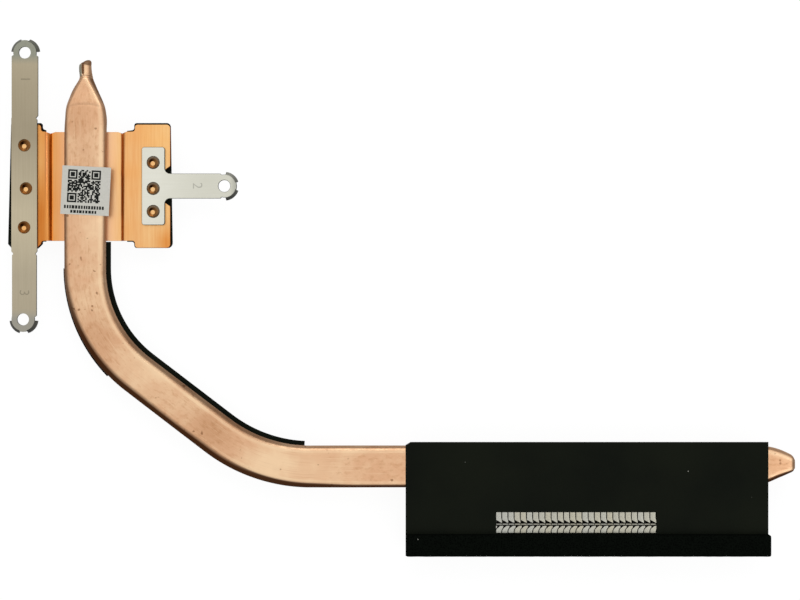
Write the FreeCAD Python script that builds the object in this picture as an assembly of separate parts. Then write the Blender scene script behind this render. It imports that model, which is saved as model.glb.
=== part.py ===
import FreeCAD, Part
import math
import os

# Laptop cooler: a flattened heat pipe joins a copper spreader plate to a stack of folded fins.
# Millimetres, +Z away from the processor. The origin lies on the contact face of the plate,
# straight under the middle of the pipe.

# Heat pipe: a round tube pressed flat, bent twice and sealed at both ends
pipe_width = 8.3
pipe_thick = 2.2
pipe_corner_y = -29.7          # where the first two runs would cross
pipe_run_y = -56.25            # middle of the run through the fins
pipe_diagonal_deg = 37.4       # slope of the middle run
pipe_bend_1 = 26.7             # bend radius at the middle of the pipe
pipe_bend_2 = 30.9
pipe_shoulder_y = 13.7         # where the filled end starts to narrow
pipe_fill_length = 11.6        # length of the narrowed, pinched end
pipe_nipple_width = 2.6
pipe_nose_length = 7.6         # length of the tapered plain end
pipe_nose_lead = 2.1           # how far before the film's edge that taper starts

# Spreader plate: copper sheet with a trough pressed down on to the processor
plate_thick = 0.8
trough_depth = 0.8
floor_left = 6.85               # from the middle of the pipe to the foot of each trough wall
floor_right = 7.1
wall_run = 0.55                 # width of a trough wall seen from above
trough_half_length = 10.95
wing_half_length = 12.35
left_wing_width = 7.2          # from the top of the wall to the outer edge, under the arm
right_wing_width = 9.35
left_ear_width = 5.65          # the longer, outer part of each wing
right_ear_width = 7.05
wing_corner = 0.7
wing_step_round = 0.55
wing_chamfer = 0.8
fold_radius = 0.3              # inside of each fold
fold_dip = 0.35                # the ends of the sheet draw in at each fold
fold_dip_half = 0.9
stem_notch_depth = 1.05
stem_notch_side = 0.8          # clear of the arm's stem on each side, at the bottom of the notch
stem_notch_flare = 0.75

# Spring arms: steel strips staked to the wings, with a screw hole at each free end
arm_thick = 0.6
left_arm_x = -12.05            # upper leg of the long arm, and its screw hole
left_arm_width = 5.25
left_waist_x = -12.17          # the part of that arm over the plate
left_waist_width = 5.15
left_foot_x = -12.15           # its lower leg
left_foot_width = 4.9
left_foot_pad_shift = 0.25     # the lower screw pad sits further out than its leg
left_arm_hole_span = 53.5
relief_y = 13.6                # small notches where the strip leaves the plate
relief_depth = 0.25
stem_width = 5.0
stem_reach = 27.95             # from the middle of the pipe to the screw hole
head_inset = 1.0               # from the outer edge of the wing to the head
head_width = 4.6
head_length = 15.6
head_corner = 0.5
stem_fillet = 1.1
screw_hole_radius = 1.2
pad_radius = 2.3              # flat round the screw hole
lip_slope_deg = 57.0
lip_length = 1.15
lip_gap_half_deg = 18.0        # half of the gap at the tip
tip_tab = 0.2                  # the flat between the lips reaches this much further
lip_sweep_deg = 66.0
throat_depth = 0.7             # notch on each side, between lip and strip
throat_half = 0.5

# Stakes: bosses drawn up out of the plate, through the arms, and spread by a conical punch
stake_radius = 1.22
stake_play = 0.03
dimple_floor_radius = 0.45
dimple_depth = 0.85
left_stake_y = (8.15, -0.5, -8.3)
left_stake_shift = (-0.08, 0.25, -0.13)  # the row isn't quite straight
right_stake_y = (4.7, -0.5, -5.1)

# Fin stack: thin sheets, each folded over on to the next and hooked into it
fin_count = 57
fin_pitch = 1.234
fin_thick = 0.2
fin_play = 0.2                 # between a flange and the next fin
fin_first_x = 65.1
fin_height = 6.5
fin_depth = 22.0
fin_lead = 0.15                # fins stand out past the pipe on the inlet side
seat_play = 0.1                # between the pipe's side and the step in the fins
hook_from_outlet = 6.15
hook_width = 0.24
hook_reach = 0.6
hook_slot_play = 0.06
hook_tail = 0.3                # flange left beside the slot
hook_ramp = 1.05               # length of the slanted side of the slot
hook_sweep = 1.5               # length of the leaning side of the slot

# Films, gasket and label
cover_film_thick = 0.1
cover_overhang_side = 0.8
cover_overhang_inlet = 0.7
cover_overhang_outlet = 0.1
cover_corner_x = 1.0
cover_corner_y = 0.6
window_first_fin = 14
window_fins = 26
window_length = 4.2
window_to_gasket = 0.2
gasket_width = 4.4
gasket_thick = 1.5
gasket_overhang = 0.35         # past the film at the nose end of the pipe
strip_thick = 0.15
strip_inner_margin = 0.85       # past the pipe on the inside of the bends
strip_outer_margin = 0.4
strip_hidden_margin = -0.5
strip_start_gap = 0.2
strip_wide_deg = 44.0          # how far round the first bend the outer margin shows
strip_short_deg = 2.6          # the strip stops short of the second bend's end
wing_film_thick = 0.15
wing_film_top_margin = 0.3     # past the upper ends of the wing
wing_film_bottom_margin = 0.05
wing_film_left_margin = 1.2
wing_film_step_margin = 0.15   # beside the ear, where the wing steps in
wing_film_corner = 0.9
wing_film_right_margin = -0.05
wing_film_skew = 0.5           # the films are laid on slightly askew
wing_film_wall_gap = 0.6
label_side = 9.7
label_thick = 0.1
label_x = 0.3
label_y = -1.0
label_turn_deg = -2.8

# Levels, from the contact face up
floor_top = plate_thick
wing_under = trough_depth
wing_top = trough_depth + plate_thick
arm_top = wing_top + arm_thick
pipe_middle = floor_top + pipe_thick / 2
pipe_top = floor_top + pipe_thick
fin_top = pipe_top
fin_bottom = fin_top - fin_height
film_top = fin_top + cover_film_thick

# Places that several pieces share
fin_end_x = fin_first_x + fin_count * fin_pitch
film_left = fin_first_x - cover_overhang_side
film_right = fin_end_x + hook_reach + cover_overhang_side
fin_inlet = pipe_run_y + pipe_width / 2 + fin_lead
fin_outlet = fin_inlet - fin_depth
film_inlet = fin_inlet + cover_overhang_inlet
film_outlet = fin_outlet - cover_overhang_outlet
wall_top_left = -floor_left - wall_run
wall_top_right = floor_right + wall_run
plate_left = wall_top_left - left_wing_width
plate_right = wall_top_right + right_wing_width
head_right = plate_right - head_inset
head_left = head_right - head_width
right_stake_x = (head_left + head_right) / 2

up = FreeCAD.Vector(0, 0, 1)


def vec(x, y, z):
    return FreeCAD.Vector(x, y, z)


def joined(pieces):
    whole = pieces[0].fuse(pieces[1:])
    return whole.removeSplitter()


def save(shape, node):
    os.makedirs("parts", exist_ok=True)
    shape.exportStep("parts/" + node + ".step")


# Closed flat outline from corners (x, y, radius), with an arc at each rounded corner
def rounded_wire(corners, z):
    count = len(corners)
    ends = []
    arcs = []
    for index, (x, y, radius) in enumerate(corners):
        here = vec(x, y, z)
        before = corners[index - 1]
        after = corners[(index + 1) % count]
        back = (vec(before[0], before[1], z) - here).normalize()
        ahead = (vec(after[0], after[1], z) - here).normalize()
        if radius == 0:
            ends.append((here, here))
            arcs.append(None)
            continue
        half = back.getAngle(ahead) / 2
        reach = radius / math.tan(half)
        inward = (back + ahead).normalize()
        middle = here + inward * (radius / math.sin(half) - radius)
        start = here + back * reach
        end = here + ahead * reach
        ends.append((start, end))
        arcs.append(Part.Arc(start, middle, end).toShape())
    edges = []
    for index in range(count):
        if arcs[index] is not None:
            edges.append(arcs[index])
        start = ends[index][1]
        end = ends[(index + 1) % count][0]
        if start.distanceToPoint(end) > 1e-6:
            edges.append(Part.makeLine(start, end))
    return Part.Wire(edges)


def prism(corners, low, high):
    return Part.Face(rounded_wire(corners, low)).extrude(vec(0, 0, high - low))


def sheet_box(x_low, x_high, y_low, y_high, low, high):
    return Part.makeBox(x_high - x_low, y_high - y_low, high - low, vec(x_low, y_low, low))


def sharp(points):
    return [(x, y, 0) for x, y in points]


# Part of a ring about the vertical axis through the origin, from a profile of (radius, height) points
def turned(profile, degrees):
    points = [vec(radius, 0, height) for radius, height in profile]
    face = Part.Face(Part.makePolygon(points + points[:1]))
    return face.revolve(vec(0, 0, 0), up, degrees)


# The pipe's route: each leg is its start, the direction it sets off in, and its shape
def pipe_route():
    slope = math.radians(pipe_diagonal_deg)
    turn_1 = 90 - pipe_diagonal_deg
    turn_2 = pipe_diagonal_deg
    reach_1 = pipe_bend_1 * math.tan(math.radians(turn_1) / 2)
    reach_2 = pipe_bend_2 * math.tan(math.radians(turn_2) / 2)
    down = vec(0, -1, 0)
    diagonal = vec(math.cos(slope), -math.sin(slope), 0)
    along = vec(1, 0, 0)
    corner_1 = vec(0, pipe_corner_y, 0)
    corner_2 = corner_1 + diagonal * ((pipe_corner_y - pipe_run_y) / math.sin(slope))
    shoulder = vec(0, pipe_shoulder_y, 0)
    nose = vec(film_right - pipe_nose_lead, pipe_run_y, 0)
    into_1 = corner_1 - down * reach_1
    out_1 = corner_1 + diagonal * reach_1
    into_2 = corner_2 - diagonal * reach_2
    out_2 = corner_2 + along * reach_2
    return {
        "plate run": (shoulder, down, into_1 - shoulder),
        "first bend": (into_1, down, (pipe_bend_1, turn_1)),
        "diagonal": (out_1, diagonal, into_2 - out_1),
        "second bend": (into_2, diagonal, (pipe_bend_2, turn_2)),
        "fin run": (out_2, along, nose - out_2),
    }


# One leg of a band with a constant section: section(at, side) is a wire, and side points out of the bends
def leg_solid(leg, section):
    start, heading, shape = leg
    side = heading.cross(up)
    face = Part.Face(section(start, side))
    if isinstance(shape, tuple):
        radius, turn = shape
        return face.revolve(start - side * radius, up, turn)
    return face.extrude(shape)


# Flattened tube seen along its axis
def pipe_section(at, side, half_width=pipe_width / 2, thick=pipe_thick):
    middle = at + up * pipe_middle
    rise = up * (thick / 2)
    flat = side * (half_width - thick / 2)
    bulge = side * half_width
    edges = [
        Part.makeLine(middle - flat + rise, middle + flat + rise),
        Part.Arc(middle + flat + rise, middle + bulge, middle + flat - rise).toShape(),
        Part.makeLine(middle + flat - rise, middle - flat - rise),
        Part.Arc(middle - flat - rise, middle - bulge, middle - flat + rise).toShape(),
    ]
    return Part.Wire(edges)


# Narrowing end: stations are (share of the length, share of the shift, half width, thickness)
def pipe_end(start, heading, length, shift, stations):
    side = heading.cross(up)
    wires = []
    for share, moved, half_width, thick in stations:
        at = start + heading * (length * share) + side * (shift * moved)
        wires.append(pipe_section(at, side, half_width, thick))
    return Part.makeLoft(wires, True, True)


def heat_pipe():
    route = pipe_route()
    legs = [leg_solid(leg, pipe_section) for leg in route.values()]
    full = pipe_width / 2
    nipple = pipe_nipple_width / 2
    filled_stations = [
        (0.0, 0.0, full, pipe_thick),
        (0.17, 0.0, full * 0.965, pipe_thick),
        (0.28, 0.0, full * 0.87, pipe_thick),
        (0.69, 0.1, nipple * 1.08, pipe_thick),
        (0.9, -0.2, nipple, pipe_thick),
        (0.97, 0.5, nipple * 0.7, pipe_thick * 0.7),
        (1.0, 1.0, nipple * 0.4, pipe_thick * 0.4),
    ]
    filled_start = vec(0, pipe_shoulder_y, 0)
    filled = pipe_end(filled_start, vec(0, 1, 0), pipe_fill_length, 0.5, filled_stations)
    nose_stations = [
        (0.0, 0.0, full, pipe_thick),
        (0.3, 0.5, full * 0.9, pipe_thick),
        (0.58, 0.9, full * 0.72, pipe_thick),
        (0.87, 1.0, full * 0.46, pipe_thick * 0.85),
        (1.0, 1.0, full * 0.22, pipe_thick * 0.4),
    ]
    nose_start = vec(film_right - pipe_nose_lead, pipe_run_y, 0)
    nose = pipe_end(nose_start, vec(1, 0, 0), pipe_nose_length, -0.55, nose_stations)
    return joined(legs + [filled, nose])


# Sheet section across the plate: level wings, slanted walls and the trough's floor
def plate_section():
    fold = plate_thick * math.tan(math.atan2(trough_depth, wall_run) / 2)
    inside = fold_radius
    outside = fold_radius + plate_thick
    upper = [
        (plate_left, wing_top, 0),
        (wall_top_left, wing_top, outside),
        (-floor_left, floor_top, inside),
        (floor_right, floor_top, inside),
        (wall_top_right, wing_top, outside),
        (plate_right, wing_top, 0),
    ]
    lower = [
        (plate_right, wing_under, 0),
        (wall_top_right + fold, wing_under, inside),
        (floor_right + fold, 0, outside),
        (-floor_left - fold, 0, outside),
        (wall_top_left - fold, wing_under, inside),
        (plate_left, wing_under, 0),
    ]
    sheet = prism(upper + lower, -wing_half_length, wing_half_length)
    sheet.rotate(vec(0, 0, 0), vec(1, 0, 0), 90)
    return sheet


# One end of the plate's outline, from left to right, at y = end * length
def plate_end(end, chamfer, dip):
    ear_left = plate_left + left_ear_width
    ear_right = plate_right - right_ear_width
    wing_y = end * wing_half_length
    trough_y = end * trough_half_length
    dip_y = end * (trough_half_length - dip)
    corners = []
    if chamfer > 0:
        corners.append((plate_left, wing_y - end * chamfer, 0))
        corners.append((plate_left + chamfer, wing_y, 0))
        corners.append((ear_left - chamfer, wing_y, 0))
        corners.append((ear_left, wing_y - end * chamfer, 0))
    else:
        corners.append((plate_left, wing_y, wing_corner))
        corners.append((ear_left, wing_y, wing_step_round))
    corners.append((ear_left, trough_y, wing_step_round))
    if dip > 0:
        for fold_x in (-floor_left - wall_run / 2, floor_right + wall_run / 2):
            corners.append((fold_x - fold_dip_half, trough_y, 0))
            corners.append((fold_x, dip_y, 0))
            corners.append((fold_x + fold_dip_half, trough_y, 0))
    corners.append((ear_right, trough_y, wing_step_round))
    corners.append((ear_right, wing_y, wing_step_round))
    corners.append((plate_right, wing_y, wing_corner))
    return corners


def plate_outline():
    notch_x = plate_right - stem_notch_depth
    notch_half = stem_width / 2 + stem_notch_side
    mouth_half = notch_half + stem_notch_flare
    notch_round = stem_notch_depth / 3
    notch = [
        (plate_right, -mouth_half, notch_round),
        (notch_x, -notch_half, notch_round),
        (notch_x, notch_half, notch_round),
        (plate_right, mouth_half, notch_round),
    ]
    top = plate_end(1, 0, fold_dip)
    top.reverse()
    return plate_end(-1, wing_chamfer, 0) + notch + top


def left_stake_places():
    return [(left_arm_x + shift, y) for shift, y in zip(left_stake_shift, left_stake_y)]


def right_stake_places():
    return [(right_stake_x, y) for y in right_stake_y]


def stake_places():
    return left_stake_places() + right_stake_places()


# Stake through an arm, or the arm's hole for it where there is play
def stake(x, y, play):
    return Part.makeCylinder(stake_radius + play, arm_thick, vec(x, y, wing_top))


# Mark of the conical punch, which opens a stake out to its rim
def stake_dimple(x, y):
    floor = vec(x, y, arm_top - dimple_depth)
    return Part.makeCone(dimple_floor_radius, stake_radius, dimple_depth, floor)


def spreader_plate():
    sheet = plate_section().common(prism(plate_outline(), 0, wing_top))
    stakes = []
    dimples = []
    for x, y in stake_places():
        stakes.append(stake(x, y, 0))
        dimples.append(stake_dimple(x, y))
    return joined([sheet] + stakes).cut(dimples)


# Free end of an arm along +Y with its screw hole at x = y = 0: a flat pad and two lips bent down round it,
# on a strip with its middle at strip_x
def arm_tip(width, strip_x):
    slope = math.radians(lip_slope_deg)
    out = lip_length * math.cos(slope)
    fall = lip_length * math.sin(slope)
    inset = arm_thick * math.tan(slope / 2)
    under = arm_top - arm_thick
    back_x = arm_thick * math.sin(slope)
    back_z = arm_thick * math.cos(slope)
    profile = [
        (pad_radius - inset, under),
        (pad_radius - inset, arm_top),
        (pad_radius, arm_top),
        (pad_radius + out, arm_top - fall),
        (pad_radius + out - back_x, arm_top - fall - back_z),
    ]
    pad = Part.makeCylinder(pad_radius, arm_thick, vec(0, 0, under))
    lip_right = turned(profile, lip_sweep_deg)
    lip_right.rotate(vec(0, 0, 0), up, 90 - lip_gap_half_deg - lip_sweep_deg)
    lip_left = lip_right.mirror(vec(0, 0, 0), vec(1, 0, 0))
    tab_reach = pad_radius + tip_tab
    tab_profile = [(0, under), (tab_reach, under), (tab_reach, arm_top), (0, arm_top)]
    tab = turned(tab_profile, 2 * lip_gap_half_deg)
    tab.rotate(vec(0, 0, 0), up, 90 - lip_gap_half_deg)
    half = width / 2
    neck = half - throat_depth
    strip = [
        (strip_x - half, -width),
        (strip_x + half, -width),
        (strip_x + half, -throat_half * 1.5),
        (strip_x + neck, -throat_half * 0.5),
        (strip_x + neck, 0),
        (strip_x - neck, 0),
        (strip_x - neck, -throat_half * 0.5),
        (strip_x - half, -throat_half * 1.5),
    ]
    stub = prism(sharp(strip), under, arm_top)
    hole = Part.makeCylinder(screw_hole_radius, 3 * arm_thick, vec(0, 0, under - arm_thick))
    return joined([pad, lip_right, lip_left, tab, stub]).cut(hole)


# Leg or waist of the long arm, as its left and right edges
def strip_edges(middle, width):
    return middle - width / 2, middle + width / 2


def left_spring_arm():
    hole_y = left_arm_hole_span / 2
    top_tip = arm_tip(left_arm_width, 0)
    top_tip.translate(vec(left_arm_x, hole_y, 0))
    bottom_tip = arm_tip(left_foot_width, -left_foot_pad_shift)
    bottom_tip.rotate(vec(0, 0, 0), up, 180)
    bottom_tip.translate(vec(left_foot_x - left_foot_pad_shift, -hole_y, 0))
    leg_left, leg_right = strip_edges(left_arm_x, left_arm_width)
    waist_left, waist_right = strip_edges(left_waist_x, left_waist_width)
    foot_left, foot_right = strip_edges(left_foot_x, left_foot_width)
    leg_end = hole_y - left_arm_width
    foot_end = left_foot_width - hole_y
    leg = sheet_box(leg_left, leg_right, relief_y, leg_end, wing_top, arm_top)
    waist = sheet_box(waist_left, waist_right, -relief_y, relief_y, wing_top, arm_top)
    foot = sheet_box(foot_left, foot_right, foot_end, -relief_y, wing_top, arm_top)
    cuts = [stake(x, y, stake_play) for x, y in left_stake_places()]
    reliefs = [
        (max(leg_right, waist_right), min(leg_right, waist_right) - relief_depth, relief_y),
        (max(foot_right, waist_right), min(foot_right, waist_right) - relief_depth, -relief_y),
        (min(foot_left, waist_left), max(foot_left, waist_left) + relief_depth, -relief_y),
    ]
    for mouth, bottom, y in reliefs:
        notch = [(mouth, y - 2 * relief_depth), (bottom, y), (mouth, y + 2 * relief_depth)]
        cuts.append(prism(sharp(notch), wing_top, arm_top))
    return joined([leg, waist, foot, top_tip, bottom_tip]).cut(cuts)


def right_spring_arm():
    half = stem_width / 2
    long_half = head_length / 2
    stem_end = stem_reach - stem_width
    outline = [
        (head_left, -long_half, head_corner),
        (head_right, -long_half, head_corner),
        (head_right, -half, stem_fillet),
        (stem_end, -half, 0),
        (stem_end, half, 0),
        (head_right, half, stem_fillet),
        (head_right, long_half, head_corner),
        (head_left, long_half, head_corner),
    ]
    body = prism(outline, wing_top, arm_top)
    tip = arm_tip(stem_width, 0)
    tip.rotate(vec(0, 0, 0), up, -90)
    tip.translate(vec(stem_reach, 0, 0))
    holes = [stake(x, y, stake_play) for x, y in right_stake_places()]
    return joined([body, tip]).cut(holes)


# Flange folded over from the edge of a fin: run lies along the edge, outward points out of the sheet's edge
def fin_flange(corner, outward, run):
    reach = fin_pitch - fin_play
    profile = [
        (0, -fin_thick),
        (0, 0),
        (reach, 0),
        (reach, -fin_thick),
    ]
    points = [corner + vec(across, 0, 0) + outward * away for across, away in profile]
    return Part.Face(Part.makePolygon(points + points[:1])).extrude(run)


# One fin, standing at x = 0: a stepped sheet with three flanges, a hook and a slot for the next hook
def fin():
    riser_y = pipe_run_y - pipe_width / 2 - seat_play
    seat = floor_top
    web = [
        (fin_outlet, fin_bottom + fin_thick),
        (fin_inlet, fin_bottom + fin_thick),
        (fin_inlet, seat - fin_thick),
        (riser_y, seat - fin_thick),
        (riser_y, fin_top - fin_thick),
        (fin_outlet, fin_top - fin_thick),
    ]
    web_points = [vec(0, y, z) for y, z in web]
    sheet = Part.Face(Part.makePolygon(web_points + web_points[:1])).extrude(vec(fin_thick, 0, 0))
    to_inlet = vec(0, 1, 0)
    flanges = [
        fin_flange(vec(0, fin_outlet, fin_top), up, to_inlet * (riser_y - fin_outlet)),
        fin_flange(vec(0, riser_y, seat), up, to_inlet * (fin_inlet - riser_y)),
        fin_flange(vec(0, fin_outlet, fin_bottom), up * -1, to_inlet * fin_depth),
    ]
    hook_y = fin_outlet + hook_from_outlet
    flange_end = fin_pitch - fin_play
    slot_end = flange_end - hook_tail
    slot_low = hook_y - hook_width / 2 - hook_slot_play
    slot = [
        (0, hook_y + hook_ramp),
        (slot_end, hook_y + hook_width),
        (slot_end, slot_low),
        (0, slot_low - hook_sweep),
    ]
    flanges[0] = flanges[0].cut(prism(sharp(slot), fin_top - fin_thick, fin_top))
    hook_low = hook_y - hook_width / 2
    hook_high = hook_low + hook_width
    hook_end = fin_pitch + hook_reach
    hook = sheet_box(slot_end, hook_end, hook_low, hook_high, fin_top - fin_thick, fin_top)
    return joined([sheet] + flanges + [hook])


def fin_stack():
    pattern = fin()
    fins = []
    for number in range(fin_count):
        one = pattern.copy()
        one.translate(vec(fin_first_x + number * fin_pitch, 0, 0))
        fins.append(one)
    return Part.makeCompound(fins)


def fin_cover_film():
    outline = [
        (film_left, film_outlet),
        (film_right, film_outlet),
        (film_right, film_inlet),
        (film_left + cover_corner_x, film_inlet),
        (film_left, film_inlet - cover_corner_y),
    ]
    window_left = fin_first_x + window_first_fin * fin_pitch
    window_right = window_left + window_fins * fin_pitch
    window_low = film_outlet + gasket_width + window_to_gasket
    window_high = window_low + window_length
    window = sheet_box(window_left, window_right, window_low, window_high, fin_top, film_top)
    return prism(sharp(outline), fin_top, film_top).cut(window)


def outlet_foam_strip():
    gasket_inner = film_outlet + gasket_width
    gasket_right = film_right + gasket_overhang
    return sheet_box(film_left, gasket_right, film_outlet, gasket_inner, film_top, film_top + gasket_thick)


# Film section under the pipe, from its inner to its outer edge
def strip_section(at, side, outer_margin):
    inner = at - side * (pipe_width / 2 + strip_inner_margin)
    outer = at + side * (pipe_width / 2 + outer_margin)
    top = up * floor_top
    low = up * (floor_top - strip_thick)
    corners = [inner + low, outer + low, outer + top, inner + top]
    return Part.makePolygon(corners + corners[:1])


def pipe_insulation_strip():
    route = pipe_route()
    start = vec(0, -trough_half_length - strip_start_gap, 0)
    bend_1, heading_1, (radius_1, turn_1) = route["first bend"]
    bend_2, heading_2, (radius_2, turn_2) = route["second bend"]

    def wide(at, side):
        return strip_section(at, side, strip_outer_margin)

    def narrow(at, side):
        return strip_section(at, side, strip_hidden_margin)

    pieces = [
        leg_solid((start, heading_1, bend_1 - start), narrow),
        leg_solid(route["first bend"], narrow),
        leg_solid((bend_1, heading_1, (radius_1, strip_wide_deg)), wide),
        leg_solid(route["diagonal"], narrow),
        leg_solid((bend_2, heading_2, (radius_2, turn_2 - strip_short_deg)), narrow),
    ]
    return joined(pieces)


def wing_film(corners):
    return prism(corners, wing_under - wing_film_thick, wing_under)


def left_wing_film():
    inner = wall_top_left - wing_film_wall_gap
    outer = plate_left - wing_film_left_margin
    end_low = -wing_half_length - wing_film_bottom_margin
    end_high = wing_half_length + wing_film_top_margin
    step_low = -trough_half_length - wing_film_bottom_margin
    step_high = trough_half_length + wing_film_top_margin
    ear = plate_left + left_ear_width + wing_film_step_margin
    corners = [
        (outer, end_low + wing_chamfer, 0),
        (outer + wing_chamfer, end_low, 0),
        (ear - wing_chamfer, end_low, 0),
        (ear, end_low + wing_chamfer, 0),
        (ear, step_low, 0),
        (inner, step_low, 0),
        (inner, step_high, 0),
        (ear, step_high, 0),
        (ear, end_high, 0),
        (outer + wing_film_skew, end_high, 0),
    ]
    return wing_film(corners)


def right_wing_film():
    inner = wall_top_right + wing_film_wall_gap
    outer = plate_right + wing_film_right_margin
    end_low = -wing_half_length - wing_film_bottom_margin
    end_high = wing_half_length + wing_film_top_margin
    step_low = -trough_half_length - wing_film_bottom_margin
    step_high = trough_half_length + wing_film_top_margin
    ear = plate_right - right_ear_width - wing_film_step_margin
    corners = [
        (inner, step_low, 0),
        (ear, step_low, 0),
        (ear, end_low, 0),
        (outer + wing_film_skew, end_low, wing_film_corner),
        (outer, end_high, wing_film_corner),
        (ear, end_high, 0),
        (ear, step_high, 0),
        (inner, step_high, 0),
    ]
    return wing_film(corners)


def label():
    half = label_side / 2
    sticker = sheet_box(-half, half, -half, half, pipe_top, pipe_top + label_thick)
    sticker.rotate(vec(0, 0, 0), up, label_turn_deg)
    sticker.translate(vec(label_x, label_y, 0))
    return sticker


save(heat_pipe(), "heat_pipe")
save(spreader_plate(), "spreader_plate")
save(left_spring_arm(), "left_spring_arm")
save(right_spring_arm(), "right_spring_arm")
save(fin_stack(), "fin_stack")
save(fin_cover_film(), "fin_cover_film")
save(outlet_foam_strip(), "outlet_foam_strip")
save(pipe_insulation_strip(), "pipe_insulation_strip")
save(left_wing_film(), "left_wing_film")
save(right_wing_film(), "right_wing_film")
save(label(), "label")
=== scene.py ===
import math
import random
import bmesh
import bpy
from mathutils import Matrix, Vector, noise


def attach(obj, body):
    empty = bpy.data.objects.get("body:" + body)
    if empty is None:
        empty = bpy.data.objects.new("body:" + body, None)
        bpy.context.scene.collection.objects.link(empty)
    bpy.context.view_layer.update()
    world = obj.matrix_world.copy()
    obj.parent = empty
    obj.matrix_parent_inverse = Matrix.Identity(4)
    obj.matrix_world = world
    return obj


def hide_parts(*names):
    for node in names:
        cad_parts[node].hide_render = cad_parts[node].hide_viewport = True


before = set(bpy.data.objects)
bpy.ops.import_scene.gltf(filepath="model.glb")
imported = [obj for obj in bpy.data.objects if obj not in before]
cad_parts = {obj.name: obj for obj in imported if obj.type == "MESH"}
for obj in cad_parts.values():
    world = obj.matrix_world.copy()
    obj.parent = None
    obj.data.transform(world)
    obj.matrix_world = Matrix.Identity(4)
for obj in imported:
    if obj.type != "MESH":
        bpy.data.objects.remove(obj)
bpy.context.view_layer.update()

mm = 0.001
weldGap = 0.0005  # mm between points that count as one


def linearColour(hexText):  # sRGB hex to linear
    parts = [int(hexText[i:i + 2], 16) / 255 for i in (1, 3, 5)]
    linear = [p / 12.92 if p <= 0.04045 else ((p + 0.055) / 1.055) ** 2.4 for p in parts]
    return (*linear, 1.0)


def withSettings(thing, **settings):
    for name, value in settings.items():
        setattr(thing, name, value)
    return thing


def addNode(tree, kind, inputs=None, **settings):  # inputs: nodes or sockets to link, hex colours or values
    node = withSettings(tree.nodes.new(kind), **settings)
    for key, value in (inputs or {}).items():
        if isinstance(value, bpy.types.Node):
            value = value.outputs[0]
        if isinstance(value, bpy.types.NodeSocket):
            tree.links.new(value, node.inputs[key])
        elif isinstance(value, str) and value.startswith("#"):
            node.inputs[key].default_value = linearColour(value)
        else:
            node.inputs[key].default_value = value
    return node


def startMaterial(name):
    material = bpy.data.materials.new(name)
    material.use_nodes = True
    material.node_tree.nodes.clear()
    return material, material.node_tree


def endMaterial(tree, surface):
    addNode(tree, "ShaderNodeOutputMaterial", {"Surface": surface})


def meshOf(bm, name, sharpDeg=40):  # bmesh in millimetres to a mesh in metres
    mesh = bpy.data.meshes.new(name)
    bm.to_mesh(mesh)
    bm.free()
    mesh.transform(Matrix.Scale(mm, 4))
    mesh.shade_smooth()
    mesh.set_sharp_from_angle(angle=math.radians(sharpDeg))
    return mesh


def putObject(name, data):
    body = bpy.data.objects.new(name, data)
    bpy.context.scene.collection.objects.link(body)
    return body


def finalMesh(body):  # what an object's modifiers or font make of it; the object goes
    mesh = bpy.data.meshes.new_from_object(body.evaluated_get(bpy.context.evaluated_depsgraph_get()))
    bpy.data.objects.remove(body)
    return mesh


def throughModifiers(mesh, *rows):  # a mesh after modifiers given as (kind, settings)
    body = putObject("carrier", mesh)
    for kind, settings in rows:
        withSettings(body.modifiers.new(kind, kind), **settings)
    return finalMesh(body)


def addPiece(name, mesh, material, slotName, *standsFor):
    mesh.materials.clear()
    mesh.materials.append(material)
    piece = putObject(name, mesh)
    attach(piece, "root")
    if standsFor:
        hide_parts(*standsFor)
    return piece


def rectangle(left, low, right, high):
    return [(left, low), (right, low), (right, high), (left, high)]


def flatPlace(x, y, z):
    return (x, y, z)


def extrude(bm, outline, low, high, place=flatPlace):  # closed prism; place turns (a, b, height) into a point
    lower = [bm.verts.new(place(a, b, low)) for a, b in outline]
    upper = [bm.verts.new(place(a, b, high)) for a, b in outline]
    count = len(outline)
    bm.faces.new(lower[::-1])
    bm.faces.new(upper)
    for i in range(count):
        j = (i + 1) % count
        bm.faces.new((lower[i], lower[j], upper[j], upper[i]))
    return upper


def roundedOutline(corners, steps=6):  # corners (x, y, radius) to points, with an arc at each rounded corner
    points = []
    count = len(corners)
    for i, (x, y, radius) in enumerate(corners):
        here = Vector((x, y))
        back = (Vector(corners[i - 1][:2]) - here).normalized()
        ahead = (Vector(corners[(i + 1) % count][:2]) - here).normalized()
        if radius == 0:
            points.append((x, y))
            continue
        half = back.angle(ahead) / 2
        middle = here + (back + ahead).normalized() * radius / math.sin(half)
        start = here + back * radius / math.tan(half) - middle
        end = here + ahead * radius / math.tan(half) - middle
        sweep = start.angle_signed(end)
        for k in range(steps + 1):
            angle = -sweep * k / steps
            turned = Vector((start.x * math.cos(angle) - start.y * math.sin(angle),
                             start.x * math.sin(angle) + start.y * math.cos(angle)))
            points.append(tuple(middle + turned))
    return points


def smoothStep(value):
    value = min(max(value, 0.0), 1.0)
    return value * value * (3 - 2 * value)


def ramp(value, span):  # 0 at the start of a span, 1 at its end
    start, end = span
    return smoothStep((value - start) / (end - start))


def alongStations(stations, share):  # smooth line through rows of (share, value, value, ...)
    last = len(stations) - 1
    i = 0
    while i < last - 1 and share > stations[i + 1][0]:
        i += 1
    start, end = stations[i], stations[i + 1]
    before, after = stations[max(i - 1, 0)], stations[min(i + 2, last)]
    span = end[0] - start[0]
    t = min(max((share - start[0]) / span, 0.0), 1.0)
    values = []
    for k in range(1, len(start)):
        slopeIn = (end[k] - before[k]) / (end[0] - before[0]) * span
        slopeOut = (after[k] - start[k]) / (after[0] - start[0]) * span
        values.append((2 * t ** 3 - 3 * t ** 2 + 1) * start[k] + (t ** 3 - 2 * t ** 2 + t) * slopeIn
                      + (3 * t ** 2 - 2 * t ** 3) * end[k] + (t ** 3 - t ** 2) * slopeOut)
    return values


print("helpers ready")


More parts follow.
